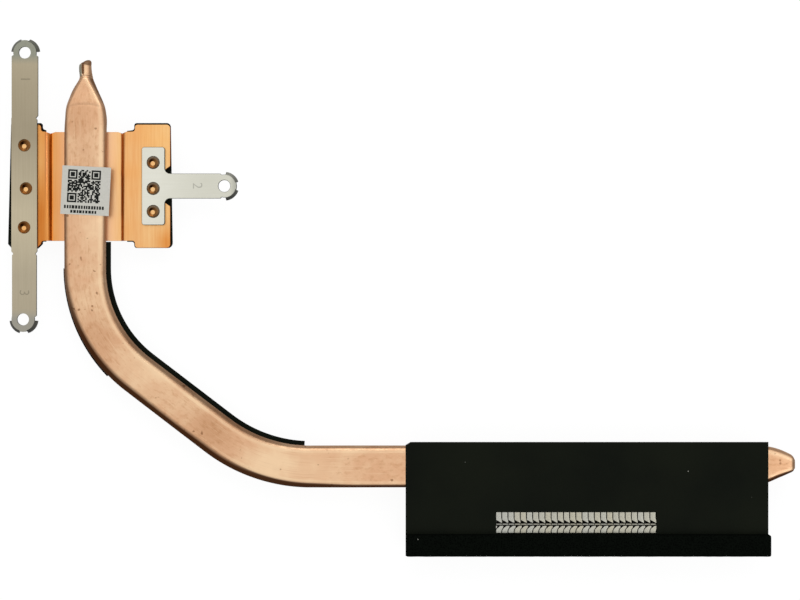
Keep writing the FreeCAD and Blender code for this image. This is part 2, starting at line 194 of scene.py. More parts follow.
# Copper tube, drawn, pressed flat and pickled: a satin peach skin with soft stains, pits and fine scratches
# along it, a painted highlight along the flat's edges, and painted shade in dull brown on its rounded sides
# and ends
pipeFinish = dict(
    skin="#e4b48d", pale="#f7d4ac", deep="#c08c63", oxide="#3a1c08", bare="#a9a794", pit="#8a5c38",
    blotch=7.0, mottleWidth=0.8, mottleLength=1.5, pitSize=1.1, scratchWidth=0.14, scratchLength=9.0,  # mm
    roughness=0.36,
    marks=dict(blotch=(0.42, 0.72, 0.7), mottle=(0.48, 0.74, 0.62), pits=(0.72, 0.78, 0.7),
               scratch=(0.6, 0.76, 0.45), burnish=(0.4, 0.28, 0.5)))  # pattern from, to, strongest


def satinCopperTube(name, look):
    material, tree = startMaterial(name)
    place = addNode(tree, "ShaderNodeTexCoord")
    blotch = addNode(tree, "ShaderNodeTexNoise", {"Vector": place.outputs["Object"],
                     "Scale": 1 / (look["blotch"] * mm), "Detail": 4.0, "Roughness": 0.65})
    drawn = addNode(tree, "ShaderNodeMapping", {"Vector": place.outputs["UV"],
                    "Scale": (1 / (look["mottleLength"] * mm), 1 / (look["mottleWidth"] * mm), 1.0)})
    mottle = addNode(tree, "ShaderNodeTexNoise", {"Vector": drawn, "Scale": 1.0, "Detail": 4.0,
                     "Roughness": 0.65})
    pits = addNode(tree, "ShaderNodeTexNoise", {"Vector": place.outputs["Object"],
                   "Scale": 1 / (look["pitSize"] * mm), "Detail": 1.0})
    alongTube = addNode(tree, "ShaderNodeMapping", {"Vector": place.outputs["UV"],
                        "Scale": (1 / (look["scratchLength"] * mm), 1 / (look["scratchWidth"] * mm), 1.0)})
    scratch = addNode(tree, "ShaderNodeTexNoise", {"Vector": alongTube, "Scale": 1.0, "Detail": 2.0})
    amounts = {}
    for part, pattern in (("blotch", blotch), ("mottle", mottle), ("pits", pits), ("scratch", scratch),
                          ("burnish", scratch)):
        start, end, most = look["marks"][part]
        amounts[part] = addNode(tree, "ShaderNodeMapRange", {"Value": pattern, "From Min": start,
                                "From Max": end, "To Max": most})
    # tone holds the painted highlight along the flat's edges and the heat marks; the last value is painted
    # shade on the sides and ends
    tone, bare, oxide = [addNode(tree, "ShaderNodeAttribute", attribute_name=part).outputs["Fac"]
                         for part in ("tone", "bare", "oxide")]
    paler = addNode(tree, "ShaderNodeMath", {0: amounts["blotch"], 1: tone}, operation="ADD", use_clamp=True)
    deeper = addNode(tree, "ShaderNodeMath", {0: amounts["mottle"], 1: tone}, operation="SUBTRACT",
                     use_clamp=True)
    skin = look["skin"]
    for amount, colour in ((paler, "pale"), (deeper, "deep"), (amounts["scratch"], "deep"),
                           (amounts["burnish"], "pale"), (amounts["pits"], "pit"), (bare, "bare"),
                           (oxide, "oxide")):
        skin = addNode(tree, "ShaderNodeMix", {0: amount, 6: skin, 7: look[colour]},
                       data_type="RGBA").outputs[2]
    bright = addNode(tree, "ShaderNodeMapRange", {"Value": oxide, "From Min": 0.3, "To Min": 1.0,
                     "To Max": 0.1})  # the painted shade is a dull brown, not metal
    rough = addNode(tree, "ShaderNodeMapRange", {"Value": mottle, "To Min": look["roughness"] - 0.1,
                    "To Max": look["roughness"] + 0.12})
    skinBump = addNode(tree, "ShaderNodeBump", {"Height": mottle, "Strength": 0.35, "Distance": 0.05 * mm})
    lines = addNode(tree, "ShaderNodeBump", {"Height": scratch, "Strength": 0.25, "Distance": 0.03 * mm,
                    "Normal": skinBump})
    metal = addNode(tree, "ShaderNodeBsdfPrincipled", {"Base Color": skin, "Metallic": bright,
                    "Roughness": rough, "Specular IOR Level": 0.0, "Normal": lines})
    endMaterial(tree, metal)
    return material


# Sheet metal, cold rolled: fine lines along one axis, painted shade as a slow darkening over the sheet and in
# its folds, and painted shade on steep faces, bent lips, dimples and stamped figures
def rolledMetal(name, look):
    material, tree = startMaterial(name)
    place = addNode(tree, "ShaderNodeTexCoord")
    fine, long = 1 / (look["lineWidth"] * mm), 1 / (look["lineLength"] * mm)
    scale = (long, fine, fine) if look["rolledAlong"] == "x" else (fine, long, fine)
    lengthways = addNode(tree, "ShaderNodeMapping", {"Vector": place.outputs["Object"], "Scale": scale})
    line = addNode(tree, "ShaderNodeTexNoise", {"Vector": lengthways, "Scale": 1.0, "Detail": 3.0,
                   "Roughness": 0.6})
    cloud = addNode(tree, "ShaderNodeTexNoise", {"Vector": place.outputs["Object"],
                    "Scale": 1 / (look["cloud"] * mm), "Detail": 3.0, "Roughness": 0.55})
    split = addNode(tree, "ShaderNodeSeparateXYZ", {"Vector": place.outputs["Object"]})
    skin = look["skin"]
    for pattern, start, most, tone in ((cloud, 0.35, look["cloudDepth"], look["pale"]),
                                       (line, 0.3, look["lineDepth"], look["deep"])):
        amount = addNode(tree, "ShaderNodeMapRange", {"Value": pattern, "From Min": start, "From Max": 0.7,
                         "To Max": most})
        skin = addNode(tree, "ShaderNodeMix", {0: amount, 6: skin, 7: tone}, data_type="RGBA").outputs[2]
    if "solder" in look:  # heat from soldering leaves the copper pinker beside the pipe
        away = addNode(tree, "ShaderNodeMath", {0: split.outputs["X"]}, operation="ABSOLUTE")
        near = addNode(tree, "ShaderNodeMapRange", {"Value": away, "From Min": look["solderFrom"] * mm,
                       "From Max": look["solderTo"] * mm, "To Min": look["solderShare"], "To Max": 0.0})
        skin = addNode(tree, "ShaderNodeMix", {0: near, 6: skin, 7: look["solder"]},
                       data_type="RGBA").outputs[2]
    for tone, *spans in look["fades"]:  # painted shade: a slow darkening, where all its spans along the axes meet
        amount = None
        for axis, start, end in spans:
            span = addNode(tree, "ShaderNodeMapRange", {"Value": split.outputs[axis], "From Min": start * mm,
                           "From Max": end * mm})
            if amount:
                span = addNode(tree, "ShaderNodeMath", {0: amount, 1: span}, operation="MULTIPLY")
            amount = span
        skin = addNode(tree, "ShaderNodeMix", {0: amount, 6: skin, 7: tone}, data_type="RGBA",
                       blend_type="MULTIPLY").outputs[2]
    for at, half, tone in look["folds"]:  # painted shade in the bend of a fold
        off = addNode(tree, "ShaderNodeMath", {0: split.outputs["X"], 1: at * mm}, operation="SUBTRACT")
        away = addNode(tree, "ShaderNodeMath", {0: off}, operation="ABSOLUTE")
        amount = addNode(tree, "ShaderNodeMapRange", {"Value": away, "From Max": half * mm, "To Min": 1.0,
                         "To Max": 0.0}, interpolation_type="SMOOTHSTEP")
        skin = addNode(tree, "ShaderNodeMix", {0: amount, 6: skin, 7: tone}, data_type="RGBA").outputs[2]
    # painted shade on steep faces and bent lips, mixed towards the edge colour, with rougher edges
    sheared = addNode(tree, "ShaderNodeAttribute", attribute_name="sheared")
    edged = addNode(tree, "ShaderNodeMix", {0: sheared.outputs["Fac"], 6: skin, 7: look["edge"]},
                    data_type="RGBA")
    # painted shade in the dimples and stamped figures, mixed towards the hollow colour
    sunk = addNode(tree, "ShaderNodeAttribute", attribute_name="sunk")
    hollowTone = look["hollow"]
    if "greyRim" in look:  # the rims of the stakes right of the pipe are grey from the steel
        right = addNode(tree, "ShaderNodeMapRange", {"Value": split.outputs["X"], "From Max": mm})
        high = addNode(tree, "ShaderNodeMapRange", {"Value": split.outputs["Z"],
                       "From Min": look["rimFrom"] * mm, "From Max": look["rimFull"] * mm})
        onRim = addNode(tree, "ShaderNodeMath", {0: right, 1: high}, operation="MULTIPLY")
        hollowTone = addNode(tree, "ShaderNodeMix", {0: onRim, 6: hollowTone, 7: look["greyRim"]},
                             data_type="RGBA").outputs[2]
    hollowed = addNode(tree, "ShaderNodeMix", {0: sunk.outputs["Fac"], 6: edged.outputs[2], 7: hollowTone},
                       data_type="RGBA")
    lineRough = addNode(tree, "ShaderNodeMapRange", {"Value": line, "To Min": look["roughness"] - 0.07,
                        "To Max": look["roughness"] + 0.1})
    edgeRough = addNode(tree, "ShaderNodeMath", {0: sheared.outputs["Fac"], 1: 0.3}, operation="MULTIPLY")
    rough = addNode(tree, "ShaderNodeMath", {0: lineRough, 1: edgeRough}, operation="ADD")
    lines = addNode(tree, "ShaderNodeBump", {"Height": line, "Strength": 0.3, "Distance": 0.02 * mm})
    metal = addNode(tree, "ShaderNodeBsdfPrincipled", {"Base Color": hollowed.outputs[2], "Metallic": 1.0,
                    "Roughness": rough, "Normal": lines})
    endMaterial(tree, metal)
    return material


plateFinish = dict(
    # edge and hollow below are colours of painted shade
    skin="#ffc77f", pale="#ffd79c", deep="#e39c58", edge="#93430a", hollow="#1c0a04", greyRim="#8a867c",
    rimFrom=1.75, rimFull=1.95, solder="#ffc99e", solderFrom=4.4, solderTo=7.2, solderShare=0.85,
    folds=((-7.02, 0.56, "#fb8a14"), (7.47, 0.38, "#d2700f")),  # painted shade in the folds: place, half width, tone
    # painted shade over parts of both wings and along the left fold
    fades=(("#eed6ba", ("X", -2, -6), ("X", -11.2, -10.2)),
           ("#e3d0d3", ("X", -7.4, -7.6), ("X", -8.3, -8.0), ("Y", -5, 3)),
           ("#ebcea8", ("Y", 5, -5), ("X", -7, -8.5), ("X", -11.2, -10.2)),
           ("#f9ebe3", ("X", 6.5, 8), ("X", 15, 10)), ("#edc79c", ("Y", -6, -11), ("X", 13, 16))),
    rolledAlong="y", lineWidth=0.25, lineLength=8.0, lineDepth=0.4, cloud=9.0, cloudDepth=0.8, roughness=0.33)
leftArmFinish = dict(  # stainless strip, warmer, and painted darker than the right arm as shade
    skin="#c6ba9f", pale="#d2c6ab", deep="#b2a68c", edge="#474744", hollow="#33302a", folds=(),
    # painted shade over the upper half and near the lower end, cooler and darker on the dished end pads
    fades=(("#d3d1cf", ("Y", -5, 10), ("Y", 46, 12)), ("#d4e4f2", ("Y", 24.4, 26.2)),
           ("#ebebed", ("Y", -9, -18), ("Y", -26.6, -24.6)), ("#d3dcee", ("Y", -24.6, -26.6))),
    rolledAlong="y", lineWidth=0.3, lineLength=10.0, lineDepth=0.35, cloud=14.0, cloudDepth=0.6,
    roughness=0.38)
rightArmFinish = dict(
    skin="#e1e0d3", pale="#e9e8dd", deep="#d1cfc1", edge="#434341", hollow="#33302a", folds=(),
    # painted shade: darker towards the end pad, and grey at the very end
    fades=(("#f1f1ef", ("X", 15, 24)), ("#a4a8aa", ("X", 29, 31.6))),
    rolledAlong="x", lineWidth=0.3, lineLength=10.0, lineDepth=0.3, cloud=8.0, cloudDepth=0.6, roughness=0.38)


# Aluminium fin strip, rolled and lightly oiled: silver, each fin a little warmer or cooler than the next,
# and painted shade inside the air passages below the top
finFinish = dict(cool="#bfc0b8", warm="#c2bca6", deep="#8a8a80", dust="#12120e", grain=0.3, roughness=0.34,
                 dustTop=2.55, openTop=2.8, dustDepth=3.0, outletY=-73.95, inletY=-51.95)


def finStrip(name, look):
    material, tree = startMaterial(name)
    place = addNode(tree, "ShaderNodeTexCoord")
    tint = addNode(tree, "ShaderNodeAttribute", attribute_name="finTint")
    grain = addNode(tree, "ShaderNodeTexNoise", {"Vector": place.outputs["Object"],
                    "Scale": 1 / (look["grain"] * mm), "Detail": 3.0, "Roughness": 0.6})
    tone = addNode(tree, "ShaderNodeMix", {0: tint.outputs["Fac"], 6: look["cool"], 7: look["warm"]},
                   data_type="RGBA")
    grainAmount = addNode(tree, "ShaderNodeMapRange", {"Value": grain, "From Min": 0.45, "From Max": 0.75,
                          "To Max": 0.6})
    dulled = addNode(tree, "ShaderNodeMix", {0: grainAmount, 6: tone.outputs[2], 7: look["deep"]},
                     data_type="RGBA")
    split = addNode(tree, "ShaderNodeSeparateXYZ", {"Vector": place.outputs["Object"]})
    # painted shade deep inside the air passages, away from both open ends
    below = addNode(tree, "ShaderNodeMapRange", {"Value": split.outputs["Z"],
                    "From Min": look["dustTop"] * mm, "From Max": look["openTop"] * mm,
                    "To Min": 0.93, "To Max": 0.0})
    fromOutlet = addNode(tree, "ShaderNodeMapRange", {"Value": split.outputs["Y"],
                         "From Min": look["outletY"] * mm,
                         "From Max": (look["outletY"] + look["dustDepth"]) * mm})
    fromInlet = addNode(tree, "ShaderNodeMapRange", {"Value": split.outputs["Y"],
                        "From Min": look["inletY"] * mm,
                        "From Max": (look["inletY"] - look["dustDepth"]) * mm})
    inside = addNode(tree, "ShaderNodeMath", {0: fromOutlet, 1: fromInlet}, operation="MULTIPLY")
    dustAmount = addNode(tree, "ShaderNodeMath", {0: inside, 1: below}, operation="MULTIPLY")
    dusty = addNode(tree, "ShaderNodeMix", {0: dustAmount, 6: dulled.outputs[2], 7: look["dust"]},
                    data_type="RGBA")
    rough = addNode(tree, "ShaderNodeMapRange", {"Value": grain, "To Min": look["roughness"] - 0.08,
                    "To Max": look["roughness"] + 0.12})
    bump = addNode(tree, "ShaderNodeBump", {"Height": grain, "Strength": 0.3, "Distance": 0.03 * mm})
    metal = addNode(tree, "ShaderNodeBsdfPrincipled", {"Base Color": dusty.outputs[2], "Metallic": 1.0,
                    "Roughness": rough, "Normal": bump})
    endMaterial(tree, metal)
    return material


# Polyester film, extruded and matted: near black, with a fine even grain and a faint cloudy sheen
filmFinish = dict(skin="#0e110c", pale="#13160f", grain=0.12, cloud=14.0, roughness=0.55)


def mattFilm(name, look):
    material, tree = startMaterial(name)
    place = addNode(tree, "ShaderNodeTexCoord")
    grain = addNode(tree, "ShaderNodeTexNoise", {"Vector": place.outputs["Object"],
                    "Scale": 1 / (look["grain"] * mm), "Detail": 2.0})
    cloud = addNode(tree, "ShaderNodeTexNoise", {"Vector": place.outputs["Object"],
                    "Scale": 1 / (look["cloud"] * mm), "Detail": 3.0})
    cloudAmount = addNode(tree, "ShaderNodeMapRange", {"Value": cloud, "From Min": 0.35, "From Max": 0.7})
    tone = addNode(tree, "ShaderNodeMix", {0: cloudAmount, 6: look["skin"], 7: look["pale"]},
                   data_type="RGBA")
    rough = addNode(tree, "ShaderNodeMapRange", {"Value": grain, "To Min": look["roughness"] - 0.06,
                    "To Max": look["roughness"] + 0.1})
    bump = addNode(tree, "ShaderNodeBump", {"Height": grain, "Strength": 0.15, "Distance": 0.01 * mm})
    film = addNode(tree, "ShaderNodeBsdfPrincipled", {"Base Color": tone.outputs[2], "Roughness": rough,
                   "Specular IOR Level": 0.03, "Normal": bump})
    endMaterial(tree, film)
    return material


# Polyurethane foam, slit from sheet: black, with open pores that swallow the light,
# drawn coarse enough to show
foamFinish = dict(wall="#080b08", pore="#020302", cell=0.3, roughness=0.95)


def openFoam(name, look):
    material, tree = startMaterial(name)
    place = addNode(tree, "ShaderNodeTexCoord")
    cells = addNode(tree, "ShaderNodeTexVoronoi", {"Vector": place.outputs["Object"],
                    "Scale": 1 / (look["cell"] * mm)})
    poreAmount = addNode(tree, "ShaderNodeMapRange", {"Value": cells.outputs["Distance"], "From Min": 0.55,
                         "From Max": 0.2})
    tone = addNode(tree, "ShaderNodeMix", {0: poreAmount, 6: look["wall"], 7: look["pore"]}, data_type="RGBA")
    bump = addNode(tree, "ShaderNodeBump", {"Height": cells.outputs["Distance"], "Strength": 0.5,
                   "Distance": 0.08 * mm})
    foam = addNode(tree, "ShaderNodeBsdfPrincipled", {"Base Color": tone.outputs[2],
                   "Roughness": look["roughness"], "Specular IOR Level": 0.01, "Normal": bump})
    endMaterial(tree, foam)
    return material


# Label paper, coated: a cool off-white with faint fibres, and ink that soaks in a little
paperFinish = dict(skin="#bab9b0", pale="#c5c3bb", fibre=0.5, roughness=0.6, gloss=0.3)
inkFinish = dict(skin="#101310", pale="#1c201d", fibre=0.25, roughness=0.7, gloss=0.1)
lintFinish = dict(skin="#8f9088", pale="#b4b3aa", fibre=0.1, roughness=0.8, gloss=0.3)


def coatedPaper(name, look):
    material, tree = startMaterial(name)
    place = addNode(tree, "ShaderNodeTexCoord")
    fibre = addNode(tree, "ShaderNodeTexNoise", {"Vector": place.outputs["Object"],
                    "Scale": 1 / (look["fibre"] * mm), "Detail": 4.0, "Roughness": 0.7})
    fibreAmount = addNode(tree, "ShaderNodeMapRange", {"Value": fibre, "From Min": 0.3, "From Max": 0.7})
    tone = addNode(tree, "ShaderNodeMix", {0: fibreAmount, 6: look["skin"], 7: look["pale"]},
                   data_type="RGBA")
    bump = addNode(tree, "ShaderNodeBump", {"Height": fibre, "Strength": 0.15, "Distance": 0.01 * mm})
    paper = addNode(tree, "ShaderNodeBsdfPrincipled", {"Base Color": tone.outputs[2],
                    "Roughness": look["roughness"], "Specular IOR Level": look["gloss"], "Normal": bump})
    endMaterial(tree, paper)
    return material


pipeCopper = satinCopperTube("drawn copper tube, pickled", pipeFinish)
plateCopper = rolledMetal("copper sheet, rolled", plateFinish)
# the same steel for both arms, painted darker on the left arm as shade
leftSteel = rolledMetal("stainless spring steel, rolled, warm, painted shade", leftArmFinish)
rightSteel = rolledMetal("stainless spring steel, rolled, pale, painted light", rightArmFinish)
finAluminium = finStrip("aluminium strip, folded", finFinish)
blackFilm = mattFilm("polyester film, matt black", filmFinish)
blackFoam = openFoam("polyurethane foam, black", foamFinish)
labelPaper = coatedPaper("coated paper", paperFinish)
labelInk = coatedPaper("thermal print ink", inkFinish)
lint = coatedPaper("paper lint, loose", lintFinish)
print("materials ready")


# Heat pipe: swept along its route from the pinched filling end, with the flat narrower round the bends
pipe = dict(
    low=0.8, thick=2.2, cornerY=-29.7, runY=-56.25, diagonalDeg=37.4, bend1=26.7, bend2=30.9, tipY=25.25,
    endX=142.33, flatPoints=20, roundPoints=14, girth=21.0, length=203.35, ridgePower=0.6,
    tipStops=((0, 0.1, 42), (4.2, 0.25, 32)),  # start, step, count
    runFrom=12.2, runStops=470, noseLength=1, noseStep=0.1, noseStops=11)
skinShape = dict(
    wave=0.014, waveLength=6, waveWidth=3, crown=0.05, crownHalf=3.2, fade=(0, 0.5), dents=90, dentSeed=11,
    dentFrom=4, dentEnd=2, dentAcross=3.4, dentRadius=(0.4, 0.9), dentDepth=(0.01, 0.045), dentReach=6)
pinch = dict(  # the closed end: its fold, the neck at its foot, the tool mark and the trimmed edge
    seamTo=3.6, seamFade=(2.6, 3.4), seamAt=0.32, seamHalf=0.16, seamDepth=0.4, neckAt=3.35, neckHalf=0.2,
    neckDepth=0.22, creaseAt=8.9, creaseBow=0.05, creaseHalf=0.2, creaseReach=3.1, creaseDepth=0.035,
    trimTo=3.3, trimAcross=(0.4, 0.55), trimAlong=(0.7, 1.0))
tarnish = dict(  # painted shade in brown on the pipe's sides and ends, its crease and seam: stretches along the pipe, and how strong and wide it is
    bent=(36, 56), past=(84, 100), diagonalIn=(50, 62), diagonalOut=(94, 106), pinchIn=(3.4, 4.0),
    pinchOut=(8, 9.5), out=0.74, outBent=0.24, outFrom=0.08, outWidth=1.1, narrowBent=0.3, narrowPast=0.4,
    into=0.66, intoBent=-0.1, intoDiagonal=0.2, intoPinched=0.2, intoFrom=0.05, intoWidth=0.85,
    tip=0.8, tipFrom=0.8, tipSlant=0.25, tipSpan=0.35, nose=0.7, noseFrom=0.55, noseSpan=0.4, crease=0.18,
    seam=0.75)
# painted highlight along the flat's edges: strength and half width inside and outside, where along the
# outside, and the inset
paleEdges = dict(into=0.6, intoHalf=0.3, out=0.55, outHalf=0.25, outAlong=(84, 94), inset=0.2)
fillRows = [  # distance from the tip, reach out of and into the bends, flat out and in, thickness, ridge
    (0.0, -0.5, 0.95, -0.62, 0.82, 0.5, 0), (0.15, -0.1, 1.16, -0.3, 0.9, 1.0, 0),
    (0.36, 0.37, 1.28, 0.0, 0.8, 1.4, 0), (0.7, 0.86, 1.3, 0.2, 0.6, 1.65, 0),
    (1.0, 1.14, 1.27, 0.4, 0.5, 1.75, 0), (2.0, 1.19, 1.33, 0.4, 0.5, 1.75, 0),
    (3.0, 1.09, 1.49, 0.3, 0.4, 1.8, 0), (3.5, 1.1, 1.57, 0.2, 0.3, 1.85, 0.4),
    (4.0, 1.27, 1.73, 0.4, 0.5, 1.9, 0.8), (6.0, 2.47, 2.57, 1.5, 1.6, 2.0, 0.8),
    (8.0, 3.3, 3.47, 2.45, 2.65, 2.13, 0.8), (9.0, 3.66, 3.86, 2.85, 3.1, 2.2, 0.6),
    (10.0, 3.86, 4.13, 3.0, 3.2, 2.2, 0.2), (12.0, 4.0, 4.38, 3.05, 3.4, 2.2, 0),
    (14.0, 4.12, 4.33, 3.05, 3.5, 2.2, 0)]
runRows = [
    (26.0, 4.15, 4.24, 3.05, 3.5, 2.2, 0), (40.0, 4.15, 4.2, 3.0, 3.3, 2.2, 0),
    (50.0, 4.15, 4.15, 2.7, 3.1, 2.2, 0.2), (61.0, 4.12, 4.15, 2.4, 3.05, 2.2, 0.3),
    (78.0, 4.15, 4.15, 2.6, 3.0, 2.2, 0.3), (86.0, 4.15, 4.18, 2.45, 3.05, 2.2, 0.3),
    (95.0, 4.18, 4.18, 2.7, 3.1, 2.2, 0.3), (106.0, 4.22, 4.2, 3.05, 3.3, 2.2, 0.3),
    (116.0, 4.22, 4.22, 3.42, 3.3, 2.2, 0.3)]
noseRows = [  # the same, measured back from the nose
    (7.6, 3.95, 4.15, 2.95, 3.3, 2.2, 0.3), (5.32, 3.2, 4.02, 2.15, 3.1, 2.2, 0.3),
    (3.19, 2.27, 3.5, 1.3, 2.6, 2.15, 0.3), (1.0, 1.32, 2.55, 0.6, 1.75, 1.9, 0.2),
    (0.35, 0.95, 2.05, 0.4, 1.35, 1.5, 0), (0.0, 0.4, 1.4, 0.2, 1.1, 0.9, 0)]
heatMarks = (  # distance, across, radius, paler or deeper: stains left by the solder oven
    (12, 1.2, 3.5, -0.3), (20, 0, 3, -0.2), (33, -1.5, 4, 0.3), (56, 0.6, 5, -0.25), (66, -1, 5, 0.35),
    (85, -0.8, 4, -0.5), (99, 0.6, 4.5, 0.9), (107, 0.5, 5, 0.45), (199, 0, 6, -0.2))


def pipeLegs():  # straight lengths and bends as (length, bend radius or None)
    slope = math.radians(pipe["diagonalDeg"])
    turn1, turn2 = math.pi / 2 - slope, slope
    reach1 = pipe["bend1"] * math.tan(turn1 / 2)
    reach2 = pipe["bend2"] * math.tan(turn2 / 2)
    diagonal = (pipe["cornerY"] - pipe["runY"]) / math.sin(slope)
    corner2X = diagonal * math.cos(slope)
    return [
        (pipe["tipY"] - pipe["cornerY"] - reach1, None),
        (pipe["bend1"] * turn1, pipe["bend1"]),
        (diagonal - reach1 - reach2, None),
        (pipe["bend2"] * turn2, pipe["bend2"]),
        (pipe["endX"] - corner2X - reach2, None)]


def pipeRoute(legs, distance):  # point and heading at a distance from the tip
    x, y, heading = 0.0, pipe["tipY"], -math.pi / 2
    for length, bend in legs:
        part = min(distance, length)
        if bend is None:
            x += part * math.cos(heading)
            y += part * math.sin(heading)
        else:
            turned = heading + part / bend
            x += bend * (math.sin(turned) - math.sin(heading))
            y -= bend * (math.cos(turned) - math.cos(heading))
            heading = turned
        distance -= part
        if distance <= 0:
            break
    return x, y, heading


def pipeRing(reachOut, reachIn, flatOut, flatIn, thick, ridge):  # flattened ring as (across, height)
    ring = []
    flatCount, roundCount = pipe["flatPoints"], pipe["roundPoints"]
    for face in (1, -1):
        start, end = (flatOut, -flatIn) if face == 1 else (-flatIn, flatOut)
        side = flatIn - reachIn if face == 1 else reachOut - flatOut
        for i in range(flatCount):
            ring.append((start + (end - start) * i / flatCount, face * thick / 2))
        for i in range(roundCount):
            angle = math.pi * i / roundCount
            rise = math.cos(angle)
            if rise * face > 0:  # the upper half may meet the flat in a ridge
                rise = (1 - ridge) * rise + ridge * face * (1 - math.sin(angle)) ** pipe["ridgePower"]
            ring.append((end + side * math.sin(angle), face * thick / 2 * rise))
    return ring


def pipeDents(total):  # knocks from handling, as (distance, across, radius, depth)
    draw = random.Random(skinShape["dentSeed"])
    dents = []
    for i in range(skinShape["dents"]):
        dents.append((draw.uniform(skinShape["dentFrom"], total - skinShape["dentEnd"]),
                      draw.uniform(-skinShape["dentAcross"], skinShape["dentAcross"]),
                      draw.uniform(*skinShape["dentRadius"]), draw.uniform(*skinShape["dentDepth"])))
    return dents


def pipeCrease(distance, across):  # mark of the tool that closed the end
    if abs(across) > pinch["creaseReach"]:
        return 0.0
    away = distance - pinch["creaseAt"] - pinch["creaseBow"] * across ** 2
    return math.exp(-(away / pinch["creaseHalf"]) ** 2)


def pipeSurface(distance, across, dents):  # how much the flat upper face is raised
    spot = Vector((distance / skinShape["waveLength"], across / skinShape["waveWidth"], 0.5))
    height = skinShape["wave"] * noise.noise(spot)
    height -= skinShape["crown"] * min(abs(across) / skinShape["crownHalf"], 1) ** 2
    for at, over, radius, depth in dents:
        away = ((distance - at) / radius) ** 2 + ((across - over) / radius) ** 2
        if away < skinShape["dentReach"]:
            height -= depth * math.exp(-away)
    return height - pinch["creaseDepth"] * pipeCrease(distance, across)


def pipeOxide(distance, across, beyondOut, beyondIn):  # painted shade in brown past the flat, darkest outside the bends, also at the ends and on the crease
    bent, past = ramp(distance, tarnish["bent"]), ramp(distance, tarnish["past"])
    diagonal = ramp(distance, tarnish["diagonalIn"]) * (1 - ramp(distance, tarnish["diagonalOut"]))
    pinched = ramp(distance, tarnish["pinchIn"]) * (1 - ramp(distance, tarnish["pinchOut"]))
    outWidth = tarnish["outWidth"] - tarnish["narrowBent"] * bent - tarnish["narrowPast"] * past
    out = tarnish["out"] + tarnish["outBent"] * bent
    out *= smoothStep((beyondOut + tarnish["outFrom"]) / outWidth)
    into = (tarnish["into"] + tarnish["intoBent"] * bent + tarnish["intoDiagonal"] * diagonal
            + tarnish["intoPinched"] * pinched)
    intoWidth = tarnish["intoWidth"] - tarnish["narrowBent"] * bent
    into *= smoothStep((beyondIn + tarnish["intoFrom"]) / intoWidth)
    fromTip = distance - tarnish["tipFrom"] + tarnish["tipSlant"] * across
    tip = tarnish["tip"] * (1 - smoothStep(fromTip / tarnish["tipSpan"]))
    fromNose = distance - pipe["length"] + tarnish["noseFrom"]
    nose = tarnish["nose"] * smoothStep(fromNose / tarnish["noseSpan"])
    return max(out, into, tip, nose, tarnish["crease"] * pipeCrease(distance, across))


def pipeTone(distance, across, flatOut, flatIn):  # painted highlight along the flat's edges, and the heat marks
    inside = (across + flatIn - paleEdges["inset"]) / paleEdges["intoHalf"]
    outside = (across - flatOut + paleEdges["inset"]) / paleEdges["outHalf"]
    tone = paleEdges["into"] * math.exp(-inside ** 2)
    tone += paleEdges["out"] * ramp(distance, paleEdges["outAlong"]) * math.exp(-outside ** 2)
    for at, over, radius, change in heatMarks:
        away = ((distance - at) / radius) ** 2 + ((across - over) / (radius * 0.8)) ** 2  # narrower across
        tone += change * math.exp(-away)
    return tone


